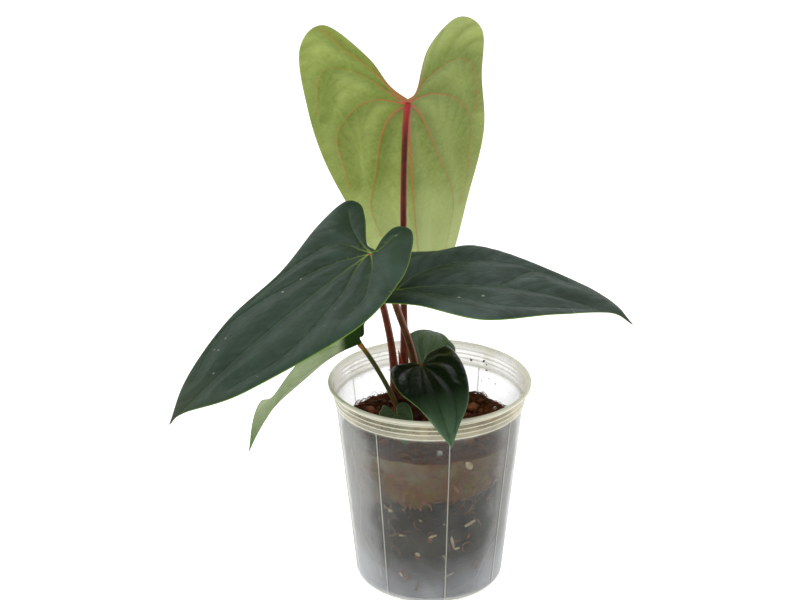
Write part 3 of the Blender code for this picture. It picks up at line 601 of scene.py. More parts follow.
def buildBlade(name, leaf, material, slotName):
    length = leaf["length"]
    right = smoothLine([(0.0, -0.02), *leaf["right"], (0.0, 1.0)], 20) * length
    left = smoothLine([(0.0, 1.0), *[(-x, y) for x, y in leaf["left"][::-1]], (0.0, -0.02)], 20) * length
    edgeStep = min(blade["edgeStep"], 0.016 * length)
    edge = np.vstack([evenSteps(right, edgeStep)[:-1], evenSteps(left, edgeStep)[:-1]])
    loop = np.vstack([edge, edge[:1]])
    specs = [([(0.0, 0.0), (0.0, 0.3), (0.0, 0.6), (0.0, 0.965)], leaf["midrib"])]
    if "veins" in leaf:
        specs += leaf["veins"]
    else:
        thin = min(1.0, length / 0.09)
        specs += [([(x * hand * 0.95, y) for x, y in points], width * thin) for points, width in commonVeins
                  for hand in (-1, 1)]
    mains, widths = [], []
    for points, width in specs:
        line = evenSteps(smoothLine(points, 10) * length, blade["veinStep"])
        keep = insideLoop(line, edge) & (distanceTo(line, [loop]) > 0.006 * length)
        keep[:2] = True
        lost = np.flatnonzero(~keep)
        lost = lost[lost > 0.25 * len(keep)]
        line = line[:lost[0] if len(lost) else len(keep)]
        if len(line) > 3:
            mains.append(line)
            widths.append(width * 0.001)
    minors = fineVeins(mains, edge, length)
    spots = []
    around = sideSteps(loop)[:-1]
    for inset in (0.0005, 0.0012):
        spots.append(edge - around * inset)
    for line, width in zip(mains, widths):
        away = sideSteps(line)
        taper = np.linspace(1.0, leaf["veinFade"], len(line))[:, None]
        for shift in (0.0, -1.0, 1.0, -2.3, 2.3):
            spots.append(line + away * shift * width * taper)
    for line in minors:
        line = evenSteps(line, 0.0016)
        away = sideSteps(line)
        for shift in (0.0, -0.0008, 0.0008):
            spots.append(line + away * shift)
    lines = np.vstack(spots)
    step = min(blade["gridStep"], 0.03 * length)
    low, high = edge.min(0), edge.max(0)
    columns, rows = np.meshgrid(np.arange(low[0], high[0], step), np.arange(low[1], high[1], step * 0.87))
    columns = columns + (np.arange(len(rows)) % 2)[:, None] * step / 2
    grid = np.stack([columns.ravel(), rows.ravel()], -1)
    grid = grid + np.random.default_rng(3).uniform(-0.12, 0.12, grid.shape) * step
    grid = grid[insideLoop(grid, edge)]
    grid = grid[(distanceTo(grid, [loop]) > 0.8 * step) & (nearGap(grid, mains + minors, 0.004) > 0.8 * step)]
    lines = lines[insideLoop(lines, edge)]
    lines = lines[distanceTo(lines, [loop]) > 0.0004]
    inner = np.vstack([lines, grid])
    cell = np.round(inner / 0.00042).astype(int)
    first = np.sort(np.unique(cell, axis=0, return_index=True)[1])
    inner = inner[first]
    points = np.vstack([edge, inner]) * 1000
    result = delaunay_2d_cdt([tuple(p) for p in points], [], [list(range(len(edge)))], 1, 1e-4)
    flat = np.array([tuple(v) for v in result[0]]) / 1000
    triangles = np.array([tuple(f) for f in result[2] if len(f) == 3])
    rimOrder = {}
    for spot, sources in enumerate(result[3]):
        for source in sources:
            if source < len(edge):
                rimOrder[source] = spot
    ring = [rimOrder[k] for k in range(len(edge))]
    # veins, the swell between them and the calm rim
    edgeGap = distanceTo(flat, [loop])
    vein = np.zeros(len(flat))
    nearest = np.full(len(flat), 1.0)
    for line, width in zip(mains, widths):
        gap = distanceTo(flat, [line])
        reach = np.linalg.norm(flat - line[0], axis=1) / max(np.linalg.norm(line[-1] - line[0]), 1e-6)
        fade = 1.0 - (1.0 - leaf["veinFade"]) * np.clip(reach, 0, 1)
        local = np.maximum(width * fade, 0.00024)
        vein = np.maximum(vein, fade * np.clip(1.25 - gap / local * 0.6, 0, 1))
        nearest = np.minimum(nearest, gap)
    minorGap = nearGap(flat, minors, 0.006) if minors else np.full(len(flat), 1.0)
    calm = 1 - np.exp(-edgeGap / (0.035 * length))
    quilt = 1 - np.exp(-(nearest / (0.055 * length)) ** 2)
    ripple = 1 - np.exp(-(minorGap / (0.016 * length)) ** 2)
    scale = leaf["quilt"] * min(1.0, length / 0.12)
    puff = (blade["quiltRise"] * quilt + blade["fineRise"] * ripple * (0.3 + 0.7 * quilt)) * calm * scale
    minorMask = np.exp(-(minorGap / 0.0006) ** 2) * (1 - vein)
    if leaf.get("redEdge"):
        near = np.clip(1.25 - np.linalg.norm(flat, axis=1) / (0.24 * length), 0, 1)
        vein = np.maximum(vein, np.exp(-(edgeGap / 0.0008) ** 2) * near)
    small = 1e-5
    middle = leafSurface(leaf, flat)
    du = leafSurface(leaf, flat + (small, 0)) - leafSurface(leaf, flat - (small, 0))
    dv = leafSurface(leaf, flat + (0, small)) - leafSurface(leaf, flat - (0, small))
    normal = np.cross(du, dv)
    normal /= np.linalg.norm(normal, axis=1)[:, None]
    soft = np.clip(edgeGap / 0.0012, 0, 1)
    half = (blade["edgeThickness"] + (blade["thickness"] - blade["edgeThickness"]) * soft) / 2
    thin = min(1.0, length / 0.10)
    top = middle + normal * (puff + half - blade["veinSink"] * thin * vein)[:, None]
    ridge = blade["veinRidge"] * thin * vein + 0.00010 * minorMask * thin
    bottom = middle + normal * (puff - half - ridge)[:, None]
    count = len(flat)
    ringArray = np.array(ring)
    outward = leafSurface(leaf, flat[ringArray] + around * 0.00012)
    outward = outward + normal[ringArray] * puff[ringArray][:, None]
    verts = np.vstack([top, bottom, outward])
    # which way is up decides the winding
    a, b, c = (top[triangles[:, k]] for k in range(3))
    facing = (np.cross(b - a, c - a) * normal[triangles[:, 0]]).sum(1)
    triangles = np.where((facing < 0)[:, None], triangles[:, ::-1], triangles)
    faces = [tuple(t) for t in triangles] + [tuple(t[::-1] + count) for t in triangles]
    for k in range(len(ring)):
        n = (k + 1) % len(ring)
        faces.append((ring[k], 2 * count + k, 2 * count + n, ring[n]))
        faces.append((2 * count + k, count + ring[k], count + ring[n], 2 * count + n))
    thing = meshObject("blade" + name.capitalize(), verts, faces)

    def both(values, rim):
        return np.concatenate([values, values, np.full(len(ring), rim)])
    reach = np.linalg.norm(flat, axis=1)
    paint(thing, "vein", both(vein, 0.0))
    paint(thing, "branch", both(minorMask, 0.0))
    # puff mask: used by the shader as a painted highlight on the swell between veins
    paint(thing, "puff", both(np.clip(quilt * (0.45 + 0.55 * ripple), 0, 1), 0.0))
    paint(thing, "flush", both(np.exp(-reach / (0.07 * length)), 0.0))
    share = flat[:, 1] / length
    paint(thing, "reach", np.concatenate([share, share, share[ringArray]]))
    # margin mask: painted light shining through the thin edge
    paint(thing, "marginGlow", both(0.25 * np.exp(-(edgeGap / 0.0003) ** 2), 1.0))
    paint(thing, "under", np.concatenate([np.zeros(count), np.ones(count), np.full(len(ring), 0.5)]))
    flat3 = np.column_stack([flat, np.zeros(count)])
    paint(thing, "flat", np.vstack([flat3, flat3 + (0.3, 0.0, 0.0), flat3[ringArray]]))
    low, high = boxOf("blade_" + name)
    drift = (low + high) / 2 - (verts.min(0) + verts.max(0)) / 2
    print("blade", name, len(thing.data.polygons), "faces, drift mm", np.round(drift * 1000, 2))
    return place(thing, material, slotName, "blade_" + name)


bladeLooks = {
    "leafNight": {
        "deep": (0.004, 0.017, 0.004), "light": (0.029, 0.062, 0.040), "vein": (0.034, 0.068, 0.030),
        "flush": (0.24, 0.34, 0.05), "branch": (0.012, 0.030, 0.014), "marginGlow": (0.24, 0.40, 0.03),
        "underDeep": (0.10, 0.17, 0.06), "underLight": (0.20, 0.28, 0.13), "underVein": (0.16, 0.13, 0.05),
        "underFlush": (0.28, 0.10, 0.05), "rough": (0.42, 0.60), "puffHighlightShare": 0.45, "flecks": 0.022,
        "tip": (0.040, 0.050, 0.025), "tipFrom": 0.72, "tipShare": 0.7,
        "sheen": 0.03, "specular": 0.16,
    },
    "leafGloss": {
        "deep": (0.0012, 0.0045, 0.0010), "light": (0.0045, 0.015, 0.0040), "vein": (0.012, 0.03, 0.012),
        "flush": (0.02, 0.035, 0.012), "branch": (0.004, 0.010, 0.004), "marginGlow": (0.16, 0.30, 0.03),
        "underDeep": (0.10, 0.17, 0.06), "underLight": (0.20, 0.28, 0.13), "underVein": (0.16, 0.13, 0.05),
        "underFlush": (0.28, 0.10, 0.05), "rough": (0.26, 0.44), "puffHighlightShare": 0.4, "flecks": 0.006,
        "tip": (0.100, 0.185, 0.095), "tipFrom": 0.40, "tipShare": 0.9,
        "sheen": 0.0, "specular": 0.22,
    },
    "leafFresh": {
        "deep": (0.018, 0.045, 0.014), "light": (0.050, 0.100, 0.038), "vein": (0.10, 0.17, 0.07),
        "flush": (0.10, 0.16, 0.05), "branch": (0.060, 0.11, 0.045), "marginGlow": (0.20, 0.36, 0.08),
        "underDeep": (0.12, 0.19, 0.08), "underLight": (0.22, 0.30, 0.15), "underVein": (0.18, 0.16, 0.08),
        "underFlush": (0.24, 0.12, 0.05), "rough": (0.40, 0.55), "puffHighlightShare": 0.4, "flecks": 0.01,
        "tip": (0.050, 0.100, 0.038), "tipFrom": 0.3, "tipShare": 0.0,
        "sheen": 0.0, "specular": 0.25,
    },
    "leafTurned": {
        "deep": (0.010, 0.032, 0.008), "light": (0.022, 0.055, 0.018), "vein": (0.05, 0.09, 0.03),
        "flush": (0.06, 0.10, 0.02), "branch": (0.02, 0.04, 0.015), "marginGlow": (0.14, 0.28, 0.05),
        "underDeep": (0.20, 0.29, 0.125), "underLight": (0.50, 0.58, 0.35), "underVein": (0.20, 0.28, 0.12),
        "underFlush": (0.12, 0.20, 0.05), "rough": (0.40, 0.56), "puffHighlightShare": 0.4, "flecks": 0.008,
        "tip": (0.105, 0.225, 0.050), "tipFrom": 0.76, "tipShare": 0.9, "tipBelow": True,
        # base: the blade near the stalk turns dark, partly its dark green and partly painted shadow
        "base": (0.012, 0.040, 0.004), "baseShadeTo": 0.14,
        "sheen": 0.0, "specular": 0.25,
    },
    # the back leaf: its pale underside tones, brightest at the tip, are partly its own colour and partly painted
    # light shining through the blade
    "leafPale": {
        "deep": (0.022, 0.055, 0.016), "light": (0.045, 0.095, 0.032), "vein": (0.16, 0.20, 0.07),
        "flush": (0.30, 0.16, 0.06), "branch": (0.04, 0.08, 0.03), "marginGlow": (0.30, 0.30, 0.08),
        "underDeep": (0.135, 0.195, 0.016), "underLight": (0.43, 0.51, 0.140), "underVein": (0.46, 0.160, 0.035),
        "underFlush": (0.74, 0.085, 0.110), "rough": (0.45, 0.60), "puffHighlightShare": 0.78, "flecks": 0.0,
        "tip": (0.62, 0.70, 0.30), "tipFrom": 0.40, "tipShare": 0.9, "tipBelow": True,
        "sheen": 0.0, "specular": 0.30,
    },
}
# the right leaf is the dark one, with a painted bluish-grey sheen as its lighter tone
bladeLooks["leafSlate"] = {**bladeLooks["leafNight"], "light": (0.060, 0.094, 0.080), "puffHighlightShare": 0.35,
                           "vein": (0.050, 0.092, 0.048)}
# the look of each blade, and the name of its finish, which the build does not use
bladeFinish = {
    "back": ("leafPale", "leaf_pale"), "left": ("leafNight", "leaf_dark"), "right": ("leafSlate", "leaf_dark"),
    "front": ("leafGloss", "leaf_dark"), "low": ("leafTurned", "leaf_dark"), "rear": ("leafFresh", "leaf_dark"),
    "tiny": ("leafFresh", "leaf_dark"),
}


def buildLeafMaterial(name, look, skin):
    material, tree, shader = newMaterial(name, specular=look["specular"])
    flat = attribute(tree, "flat", "Vector")
    shared = {"Vector": flat, "Vein": attribute(tree, "vein"), "Branch": attribute(tree, "branch"),
              "Puff": attribute(tree, "puff"), "Flush": attribute(tree, "flush"),
              "Margin": attribute(tree, "marginGlow"), "Margin Glow Tone": look["marginGlow"],
              "Puff Highlight Share": look["puffHighlightShare"], "Rough Low": look["rough"][0], "Rough High": look["rough"][1]}
    over = useGroup(tree, skin, {**shared, "Deep": look["deep"], "Light": look["light"],
                                 "Vein Tone": look["vein"], "Flush Tone": look["flush"],
                                 "Branch Tone": look["branch"], "Branch Share": 0.5,
                                 "Fleck Share": look["flecks"]})
    under = useGroup(tree, skin, {**shared, "Deep": look["underDeep"], "Light": look["underLight"],
                                  "Vein Tone": look["underVein"], "Flush Tone": look["underFlush"],
                                  "Branch Tone": look["underLight"], "Branch Share": 0.14,
                                  "Fleck Share": 0.0})
    face = attribute(tree, "under")
    tone = mixColor(tree, face, over["Color"], under["Color"])
    reach = attribute(tree, "reach")
    plain = maths(tree, "SUBTRACT", 1.0, attribute(tree, "vein"), clamp=True)
    near = maths(tree, "MULTIPLY", span(tree, reach, look["tipFrom"], 1.0, 0.0, look["tipShare"]), plain)
    if look.get("tipBelow"):
        near = maths(tree, "MULTIPLY", near, face)
    tone = mixColor(tree, near, tone, look["tip"])
    # dark patch near the stalk: partly the leaf's own dark green, partly painted shadow
    if "base" in look:
        tone = mixColor(tree, span(tree, reach, look["baseShadeTo"], look["baseShadeTo"] - 0.05), tone, look["base"])
    tree.links.new(tone, shader.inputs["Base Color"])
    tree.links.new(mixFloat(tree, face, over["Rough"], under["Rough"]), shader.inputs["Roughness"])
    if look["sheen"]:
        shader.inputs["Sheen Weight"].default_value = look["sheen"]
        shader.inputs["Sheen Roughness"].default_value = 0.45
        shader.inputs["Sheen Tint"].default_value = (0.75, 0.88, 0.95, 1.0)
    bumpFrom(tree, shader, over["Height"], 0.00012, 0.5)
    return material


# stalks, stem and new shoot: foot is measured from the top of the stem
stalks = {
    "back": {"foot": (-0.0150, 0.0052, 0.0), "reach": (0.0, 0.003, 0.055), "hook": (0.0042, 0.009, 0.024),
             "radius": 0.0021, "look": "stalkMaroon"},
    "left": {"foot": (-0.0203, -0.0024, 0.0), "reach": (-0.001, 0.001, 0.036), "hook": (-0.005, 0.002, 0.030),
             "radius": 0.0022, "look": "stalkMaroon"},
    "right": {"foot": (-0.0085, -0.0043, 0.0), "reach": (0.0045, -0.002, 0.020), "hook": (0.0012, -0.007, 0.0115),
              "radius": 0.0022, "look": "stalkOlive"},
    "front": {"foot": (-0.0140, -0.0070, 0.0), "reach": (0.001, -0.001, 0.010), "hook": (0.001, -0.004, 0.006),
              "radius": 0.0015, "look": "stalkMaroon"},
    "low": {"foot": (-0.0185, -0.0098, -0.010), "reach": (-0.004, 0.0, 0.010), "hook": (-0.008, -0.001, 0.010),
            "radius": 0.0015, "look": "stalkGreen"},
    "rear": {"foot": (-0.0090, 0.0024, 0.0), "reach": (0.0, 0.0, 0.004), "hook": (0.0, 0.002, 0.004),
             "radius": 0.0013, "look": "stalkMaroon"},
    "tiny": {"foot": (-0.0188, -0.0069, -0.020), "reach": (-0.001, -0.004, 0.005), "hook": (0.0, -0.003, 0.004),
             "radius": 0.0008, "look": "stalkMaroon"},
}
stalkShape = {
    "sides": 24, "steps": 70, "sunk": 0.0035, "knuckleAt": 0.955, "knuckleReach": 0.032, "knuckleSwell": 0.16,
    "footFlare": 0.55, "ridge": 0.035, "ribs": 5,
    "flankHighlightShare": 0.6, "flankHighlightKeep": 0.55, "flankHighlightLift": (0.36, 0.10, 0.10),
}
# tones from the foot, through the middle, to the knuckle, and the streak tone
stalkLooks = {
    "stalkMaroon": ((0.13, 0.020, 0.006), (0.066, 0.015, 0.005), (0.42, 0.040, 0.040), (0.22, 0.040, 0.014)),
    "stalkOlive": ((0.12, 0.018, 0.006), (0.040, 0.019, 0.004), (0.30, 0.075, 0.016), (0.17, 0.060, 0.020)),
    "stalkGreen": ((0.11, 0.024, 0.008), (0.032, 0.052, 0.005), (0.34, 0.15, 0.020), (0.080, 0.085, 0.012)),
    "sheathRed": ((0.045, 0.010, 0.004), (0.13, 0.016, 0.005), (0.36, 0.15, 0.06), (0.16, 0.040, 0.012)),
    "stemBrown": ((0.020, 0.006, 0.003), (0.035, 0.006, 0.002), (0.060, 0.007, 0.003), (0.070, 0.020, 0.008)),
    "shootRed": ((0.16, 0.010, 0.008), (0.30, 0.020, 0.010), (0.62, 0.34, 0.18), (0.40, 0.06, 0.03)),
}


def buildStalkMaterial(name, tones, streaks, mottle):
    material, tree, shader = newMaterial(name, specular=0.16)
    along = attribute(tree, "along")
    vector = attribute(tree, "skinPlace", "Vector")
    lower = mixColor(tree, span(tree, along, 0.0, 0.35), tones[0], tones[1])
    whole = mixColor(tree, span(tree, along, 0.80, 0.96), lower, tones[2])
    lines = useGroup(tree, streaks, {"Vector": vector, "Scale": 900.0, "Stretch": 0.06})["Value"]
    blotch = useGroup(tree, mottle, {"Vector": vector, "Scale": 260.0, "Contrast": 1.2})["Value"]
    share = maths(tree, "MULTIPLY", lines, maths(tree, "MULTIPLY", blotch, 0.75))
    tone = mixColor(tree, share, whole, tones[3])
    # painted highlight on the stalk's flanks
    flankHighlight = tuple(stalkShape["flankHighlightKeep"] * np.array(tones[3]) + stalkShape["flankHighlightLift"])
    tone = mixColor(tree, maths(tree, "MULTIPLY", attribute(tree, "flankHighlight"), stalkShape["flankHighlightShare"]), tone, flankHighlight)
    tree.links.new(tone, shader.inputs["Base Color"])
    tree.links.new(mixFloat(tree, blotch, 0.34, 0.50), shader.inputs["Roughness"])
    bumpFrom(tree, shader, lines, 0.00015, 0.6)
    return material


def stalkPath(leaf, stalk, stemTop):
    up = leafAxes(leaf)[2]
    foot = np.array(stalk["foot"]) + (0.0, 0.0, stemTop)
    end = np.array(leaf["at"]) - up * 0.0002
    return bezier((foot, foot + np.array(stalk["reach"]), end - np.array(stalk["hook"]), end), stalkShape["steps"])


def buildStalk(name, leaf, stalk, material, stemTop):
    path = stalkPath(leaf, stalk, stemTop)
    path = np.vstack([path[0] - (0.0, 0.0, stalkShape["sunk"]), path])
    t = np.linspace(0, 1, len(path))
    sides, radius = stalkShape["sides"], stalk["radius"]
    flare = stalkShape["footFlare"] * (1 - t) ** 7
    knuckle = stalkShape["knuckleSwell"] * np.exp(-((t - stalkShape["knuckleAt"]) / stalkShape["knuckleReach"]) ** 2)
    radii = radius * (0.92 + flare + knuckle - 0.10 * np.clip((t - 0.985) / 0.015, 0, 1))
    verts, faces, along = tube(path, radii, sides, ridge=stalkShape["ridge"], ribs=stalkShape["ribs"])
    thing = meshObject("stalk" + name.capitalize(), verts, faces)
    length = np.linalg.norm(np.diff(path, axis=0), axis=1).sum()
    angle = np.tile(2 * np.pi * np.arange(sides) / sides, len(path))
    paint(thing, "along", along)
    paint(thing, "skinPlace", np.stack([radius * np.cos(angle), radius * np.sin(angle), along * length], -1))
    # painted highlight: the flanks, left and right of the middle line, are paler, where side light catches the stalk
    off = np.abs(verts[:, 0] - np.repeat(path[:, 0], sides)) / np.repeat(radii, sides)
    paint(thing, "flankHighlight", np.clip((off - 0.62) / 0.30, 0, 1) * np.clip(along * 3, 0, 1))
    return place(thing, material, "stalk", "stalk_" + name)


stemLook = {
    "topRadius": 0.0100, "footRadius": 0.0066, "rings": 4, "ringRise": 0.0007,
    "footPlace": (-0.0095, 0.0), "topPlace": (-0.0145, 0.0), "sunk": 0.004,
    "sheaths": 9, "sheathTall": (0.010, 0.019), "sheathWide": (0.0022, 0.0036), "sheathRing": (0.0072, 0.0058),
    "sheathDrop": 0.005, "sheathSkin": 0.00018, "sheathRows": 10, "sheathColumns": 7,
}


def buildStem(material):
    low, high = boxOf("stem")
    foot = np.array((*stemLook["footPlace"], low[2] - stemLook["sunk"]))
    top = np.array((*stemLook["topPlace"], high[2]))
    t = np.linspace(0, 1, 40)
    path = foot + (top - foot) * t[:, None]
    wave = np.abs(np.sin(math.pi * stemLook["rings"] * t)) ** 6
    radii = stemLook["footRadius"] + (stemLook["topRadius"] - stemLook["footRadius"]) * t ** 1.5
    radii = radii * (1 - 0.35 * np.clip((t - 0.9) / 0.1, 0, 1) ** 2) + stemLook["ringRise"] * wave
    verts, faces, along = tube(path, radii, 40, ridge=0.05, ribs=7, start=(0.0, 1.0, 0.0))
    stem = meshObject("stem", verts, faces)
    paint(stem, "along", along)
    paint(stem, "skinPlace", verts)
    place(stem, material, "stem", "stem")
    return top


# torn papery sheaths round the stalk feet
def buildSheaths(material, top):
    rng = np.random.default_rng(11)
    parts = []
    rows, columns, ring = stemLook["sheathRows"], stemLook["sheathColumns"], stemLook["sheathRing"]
    for k in range(stemLook["sheaths"]):
        angle = 2 * math.pi * k / stemLook["sheaths"] + rng.uniform(-0.25, 0.25)
        tall = rng.uniform(*stemLook["sheathTall"])
        wide = rng.uniform(*stemLook["sheathWide"])
        foot = top + np.array((ring[0] * math.cos(angle), ring[1] * math.sin(angle), -stemLook["sheathDrop"]))
        out = np.array((math.cos(angle), math.sin(angle), 0.0))
        side = np.array((-math.sin(angle), math.cos(angle), 0.0))
        verts = []
        for skin in (0.0, stemLook["sheathSkin"]):
            for row in range(rows + 1):
                r = row / rows
                lean = 0.0006 * math.sin(3.0 * r) + rng.uniform(-0.00008, 0.00008) - 0.002 * r * r
                half = wide * (1 - r ** 1.8) * (0.9 + 0.2 * math.sin(5 * r + k)) + 0.00015
                for column in range(columns):
                    c = column / (columns - 1) * 2 - 1
                    curl = -0.0012 * c * c * (1 - r)
                    verts.append(foot + side * half * c + out * (lean + curl + skin) + (0, 0, tall * r))
        faces = []
        size = (rows + 1) * columns
        for row in range(rows):
            for column in range(columns - 1):
                a = row * columns + column
                faces.append((a, a + 1, a + columns + 1, a + columns))
                faces.append((size + a, size + a + columns, size + a + columns + 1, size + a + 1))
        rim = list(range(columns)) + [r * columns + columns - 1 for r in range(1, rows + 1)]
        rim += [rows * columns + c for c in range(columns - 2, -1, -1)]
        rim += [r * columns for r in range(rows - 1, 0, -1)]
        for a, b in zip(rim, rim[1:] + rim[:1]):
            faces.append((b, a, size + a, size + b))
        parts.append((verts, faces))
    verts, faces = joinParts(parts)
    sheaths = meshObject("stemSheaths", verts, faces)
    paint(sheaths, "along", (verts[:, 2] - verts[:, 2].min()) / np.ptp(verts[:, 2]))
    paint(sheaths, "skinPlace", verts)
    place(sheaths, material, "stem")


shootLook = {
    "foot": (-0.0151, -0.0006), "tip": (-0.0184, 0.0020), "sunk": 0.004, "bow": 0.0006, "radius": 0.00235,
    "sides": 20, "steps": 44, "winding": 5.0, "seamRise": 0.13,
}


def buildShoot(material):
    low, high = boxOf("new_shoot")
    start, tip = np.array((*shootLook["foot"], low[2] - shootLook["sunk"])), np.array((*shootLook["tip"], high[2]))
    t = np.linspace(0, 1, shootLook["steps"])
    path = start + (tip - start) * t[:, None] + np.array((shootLook["bow"], 0, 0)) * np.sin(math.pi * t)[:, None]
    radii = shootLook["radius"] * (1 - 0.93 * t ** 1.7) + 0.00003
    sides = shootLook["sides"]
    verts, faces, along = tube(path, radii, sides)
    # the rolled blade winds round once, leaving a raised seam
    angle = np.tile(2 * np.pi * np.arange(sides) / sides, len(path))
    seam = ((angle - along * shootLook["winding"]) % (2 * np.pi)) / (2 * np.pi)
    axis = np.repeat(path, sides, axis=0)
    verts = axis + (verts - axis) * (1 + shootLook["seamRise"] * seam)[:, None]
    shoot = meshObject("newShoot", verts, faces)
    paint(shoot, "along", along)
    paint(shoot, "skinPlace", verts)
    place(shoot, material, "shoot", "new_shoot")


# clear nursery pot, in metres
pot = {
    "baseRadius": 0.0442, "collarRadius": 0.0562, "collarHeight": 0.013, "lipHeight": 0.0022, "wall": 0.0011,
    "baseThickness": 0.0016, "ribs": 8, "ribTurn": -78.0, "ribWidth": 0.0012, "ribRise": 0.0004,
    "ridges": (0.0032, 0.0060, 0.0088), "ridgeRise": 0.00035, "ridgeWidth": 0.0008,
    "drains": 6, "drainRadius": 0.004, "drainRing": 0.028, "columns": 256,
    "holeSides": 28, "baseRings": (0.008, 0.016, 0.022, 0.0355),
    "veilTone": (0.20, 0.205, 0.195), "milkTone": (0.46, 0.47, 0.46), "dampTone": (0.56, 0.57, 0.60),
    "agedTone": (0.78, 0.70, 0.45), "lineTone": (0.88, 0.87, 0.74), "ribShadeTone": (0.05, 0.045, 0.035),
    "clear": 0.05, "hazy": 0.12,  # how much of the plastic shows, at its clearest and at its haziest
    "dampFrom": 0.034, "dampFull": 0.004, "agedFrom": 0.110, "agedFull": 0.114,
    "milk": {"edge": 1.3, "damp": 0.75, "fog": 0.45, "scuff": 0.10},
    "veil": {"scuff": 0.02, "damp": 0.19, "aged": 0.14, "fog": 0.10, "line": 0.50, "edge": 0.40, "ribShade": 0.5},
    "fogTurns": (-205, -165, -146, -112, -60, -30, 0, 30), "fogShares": (0.1, 0.5, 1.0, 0.0, 0.0, 1.0, 0.5, 0.1),
}
# one ridge round the collar, from below: offset in half widths, rise and line strength
ridgeCurve = ((-1.6, 0.0, 0.0), (-1.0, 0.25, 0.3), (-0.4, 0.85, 0.9), (0.0, 1.0, 1.0),
              (0.4, 0.85, 0.9), (1.0, 0.25, 0.3), (1.6, 0.0, 0.0))


def wallRadius(z):
    top = potHeight - pot["collarHeight"]
    return pot["baseRadius"] + (pot["collarRadius"] - 0.0009 - pot["baseRadius"]) * z / top


# outside radius, inside radius and line strength at a height
def potProfile():
    collar, under = potHeight - pot["collarHeight"], potHeight - pot["lipHeight"]
    outside = [(pot["baseRadius"] - 0.0016, 0.0, 0.6), (pot["baseRadius"] - 0.0006, 0.0003, 0.5),
               (wallRadius(0.0016), 0.0016, 0.3)]
    outside += [(wallRadius(z), z, 0.0) for z in np.linspace(0.0028, collar - 0.0016, 34)]
    outside += [(wallRadius(collar - 0.0008), collar - 0.0008, 0.4), (pot["collarRadius"] - 0.0001, collar, 0.9),
                (pot["collarRadius"], collar + 0.0005, 0.3)]
    for ridge in pot["ridges"]:
        middle = pot["collarRadius"] + 0.0006 * ridge / pot["collarHeight"]
        half = pot["ridgeWidth"] / 2
        for share, rise, line in ridgeCurve:
            outside.append((middle + rise * pot["ridgeRise"], collar + ridge + share * half, line))
    rim = rimRadius
    outside += [(rim - 0.0030, under - 0.0014, 0.1), (rim - 0.0022, under - 0.0007, 0.4),
                (rim - 0.0006, under - 0.0001, 0.6), (rim - 0.0001, under + 0.0004, 0.8), (rim, under + 0.0010, 0.9),
                (rim - 0.0002, potHeight - 0.0005, 0.9), (rim - 0.0007, potHeight, 0.8)]
    inside = [(rim - 0.0016, potHeight, 0.7), (rim - 0.0024, potHeight - 0.0005, 0.5),
              (rim - 0.0034, under - 0.0010, 0.3), (pot["collarRadius"] + 0.0004 - pot["wall"], under - 0.0022, 0.1)]
    inside += [(pot["collarRadius"] + 0.0002 - pot["wall"], collar + 0.0058, 0.0),
               (pot["collarRadius"] - pot["wall"], collar + 0.0004, 0.4),
               (wallRadius(collar - 0.0010) - pot["wall"], collar - 0.0008, 0.2)]
    inside += [(wallRadius(z) - pot["wall"], z, 0.0)
               for z in np.linspace(collar - 0.003, pot["baseThickness"] + 0.001, 30)]
    inside += [(wallRadius(pot["baseThickness"]) - pot["wall"] - 0.0006, pot["baseThickness"], 0.3)]
    return outside, inside


def buildPotMaterial(mottle, streaks):
    material, tree, shader = newMaterial("potPlastic", roughness=0.38, specular=0.3)
    line = attribute(tree, "line")
    ribShade = attribute(tree, "ribShade")
    where = addNode(tree, "ShaderNodeTexCoord").outputs["Object"]
    parts = addNode(tree, "ShaderNodeSeparateXYZ", {"Vector": where})
    haze = useGroup(tree, mottle, {"Vector": where, "Scale": 38.0, "Contrast": 1.3})["Value"]
    scuff = useGroup(tree, streaks, {"Vector": where, "Scale": 260.0, "Stretch": 0.12})["Value"]
    facing = addNode(tree, "ShaderNodeLayerWeight", {"Blend": 0.5}).outputs["Facing"]
    edge = maths(tree, "POWER", facing, 1.5)
    level = parts.outputs["Z"]
    damp = span(tree, level, pot["dampFrom"], pot["dampFull"])
    damp = maths(tree, "MULTIPLY", damp, mixFloat(tree, haze, 0.7, 1.0))
    aged = span(tree, level, pot["agedFrom"], pot["agedFull"])
    aged = maths(tree, "MULTIPLY", aged, mixFloat(tree, haze, 0.5, 1.0))
    ragged = maths(tree, "MULTIPLY", maths(tree, "SUBTRACT", haze, 0.5), 0.30)
    fog = span(tree, maths(tree, "ADD", attribute(tree, "fog"), ragged), 0.38, 0.72)
    masks = {"edge": edge, "damp": damp, "aged": aged, "fog": fog, "scuff": scuff, "line": line, "ribShade": ribShade}
    milk, veil = 0.0, mixFloat(tree, haze, pot["clear"], pot["hazy"])
    for name, share in pot["milk"].items():
        milk = maths(tree, "ADD", milk, maths(tree, "MULTIPLY", masks[name], share), clamp=name == "scuff")
    for name, share in pot["veil"].items():
        veil = maths(tree, "ADD", veil, maths(tree, "MULTIPLY", masks[name], share), clamp=name in ("edge", "ribShade"))
    tree.links.new(veil, shader.inputs["Alpha"])
    milky = mixColor(tree, damp, pot["milkTone"], pot["dampTone"])
    tone = mixColor(tree, milk, pot["veilTone"], milky)
    tone = mixColor(tree, maths(tree, "MULTIPLY", aged, 0.85), tone, pot["agedTone"])
    tone = mixColor(tree, line, tone, pot["lineTone"])
    # the painted shade beside the ribs darkens the colour here
    tree.links.new(mixColor(tree, ribShade, tone, pot["ribShadeTone"]), shader.inputs["Base Color"])
    bumpFrom(tree, shader, scuff, 0.00012, 0.4)
    return material


# angle from the nearest rib, with its sign
def fromRib(angle, turns):
    return min(((angle - turn + math.pi) % (2 * math.pi) - math.pi for turn in turns), key=abs)


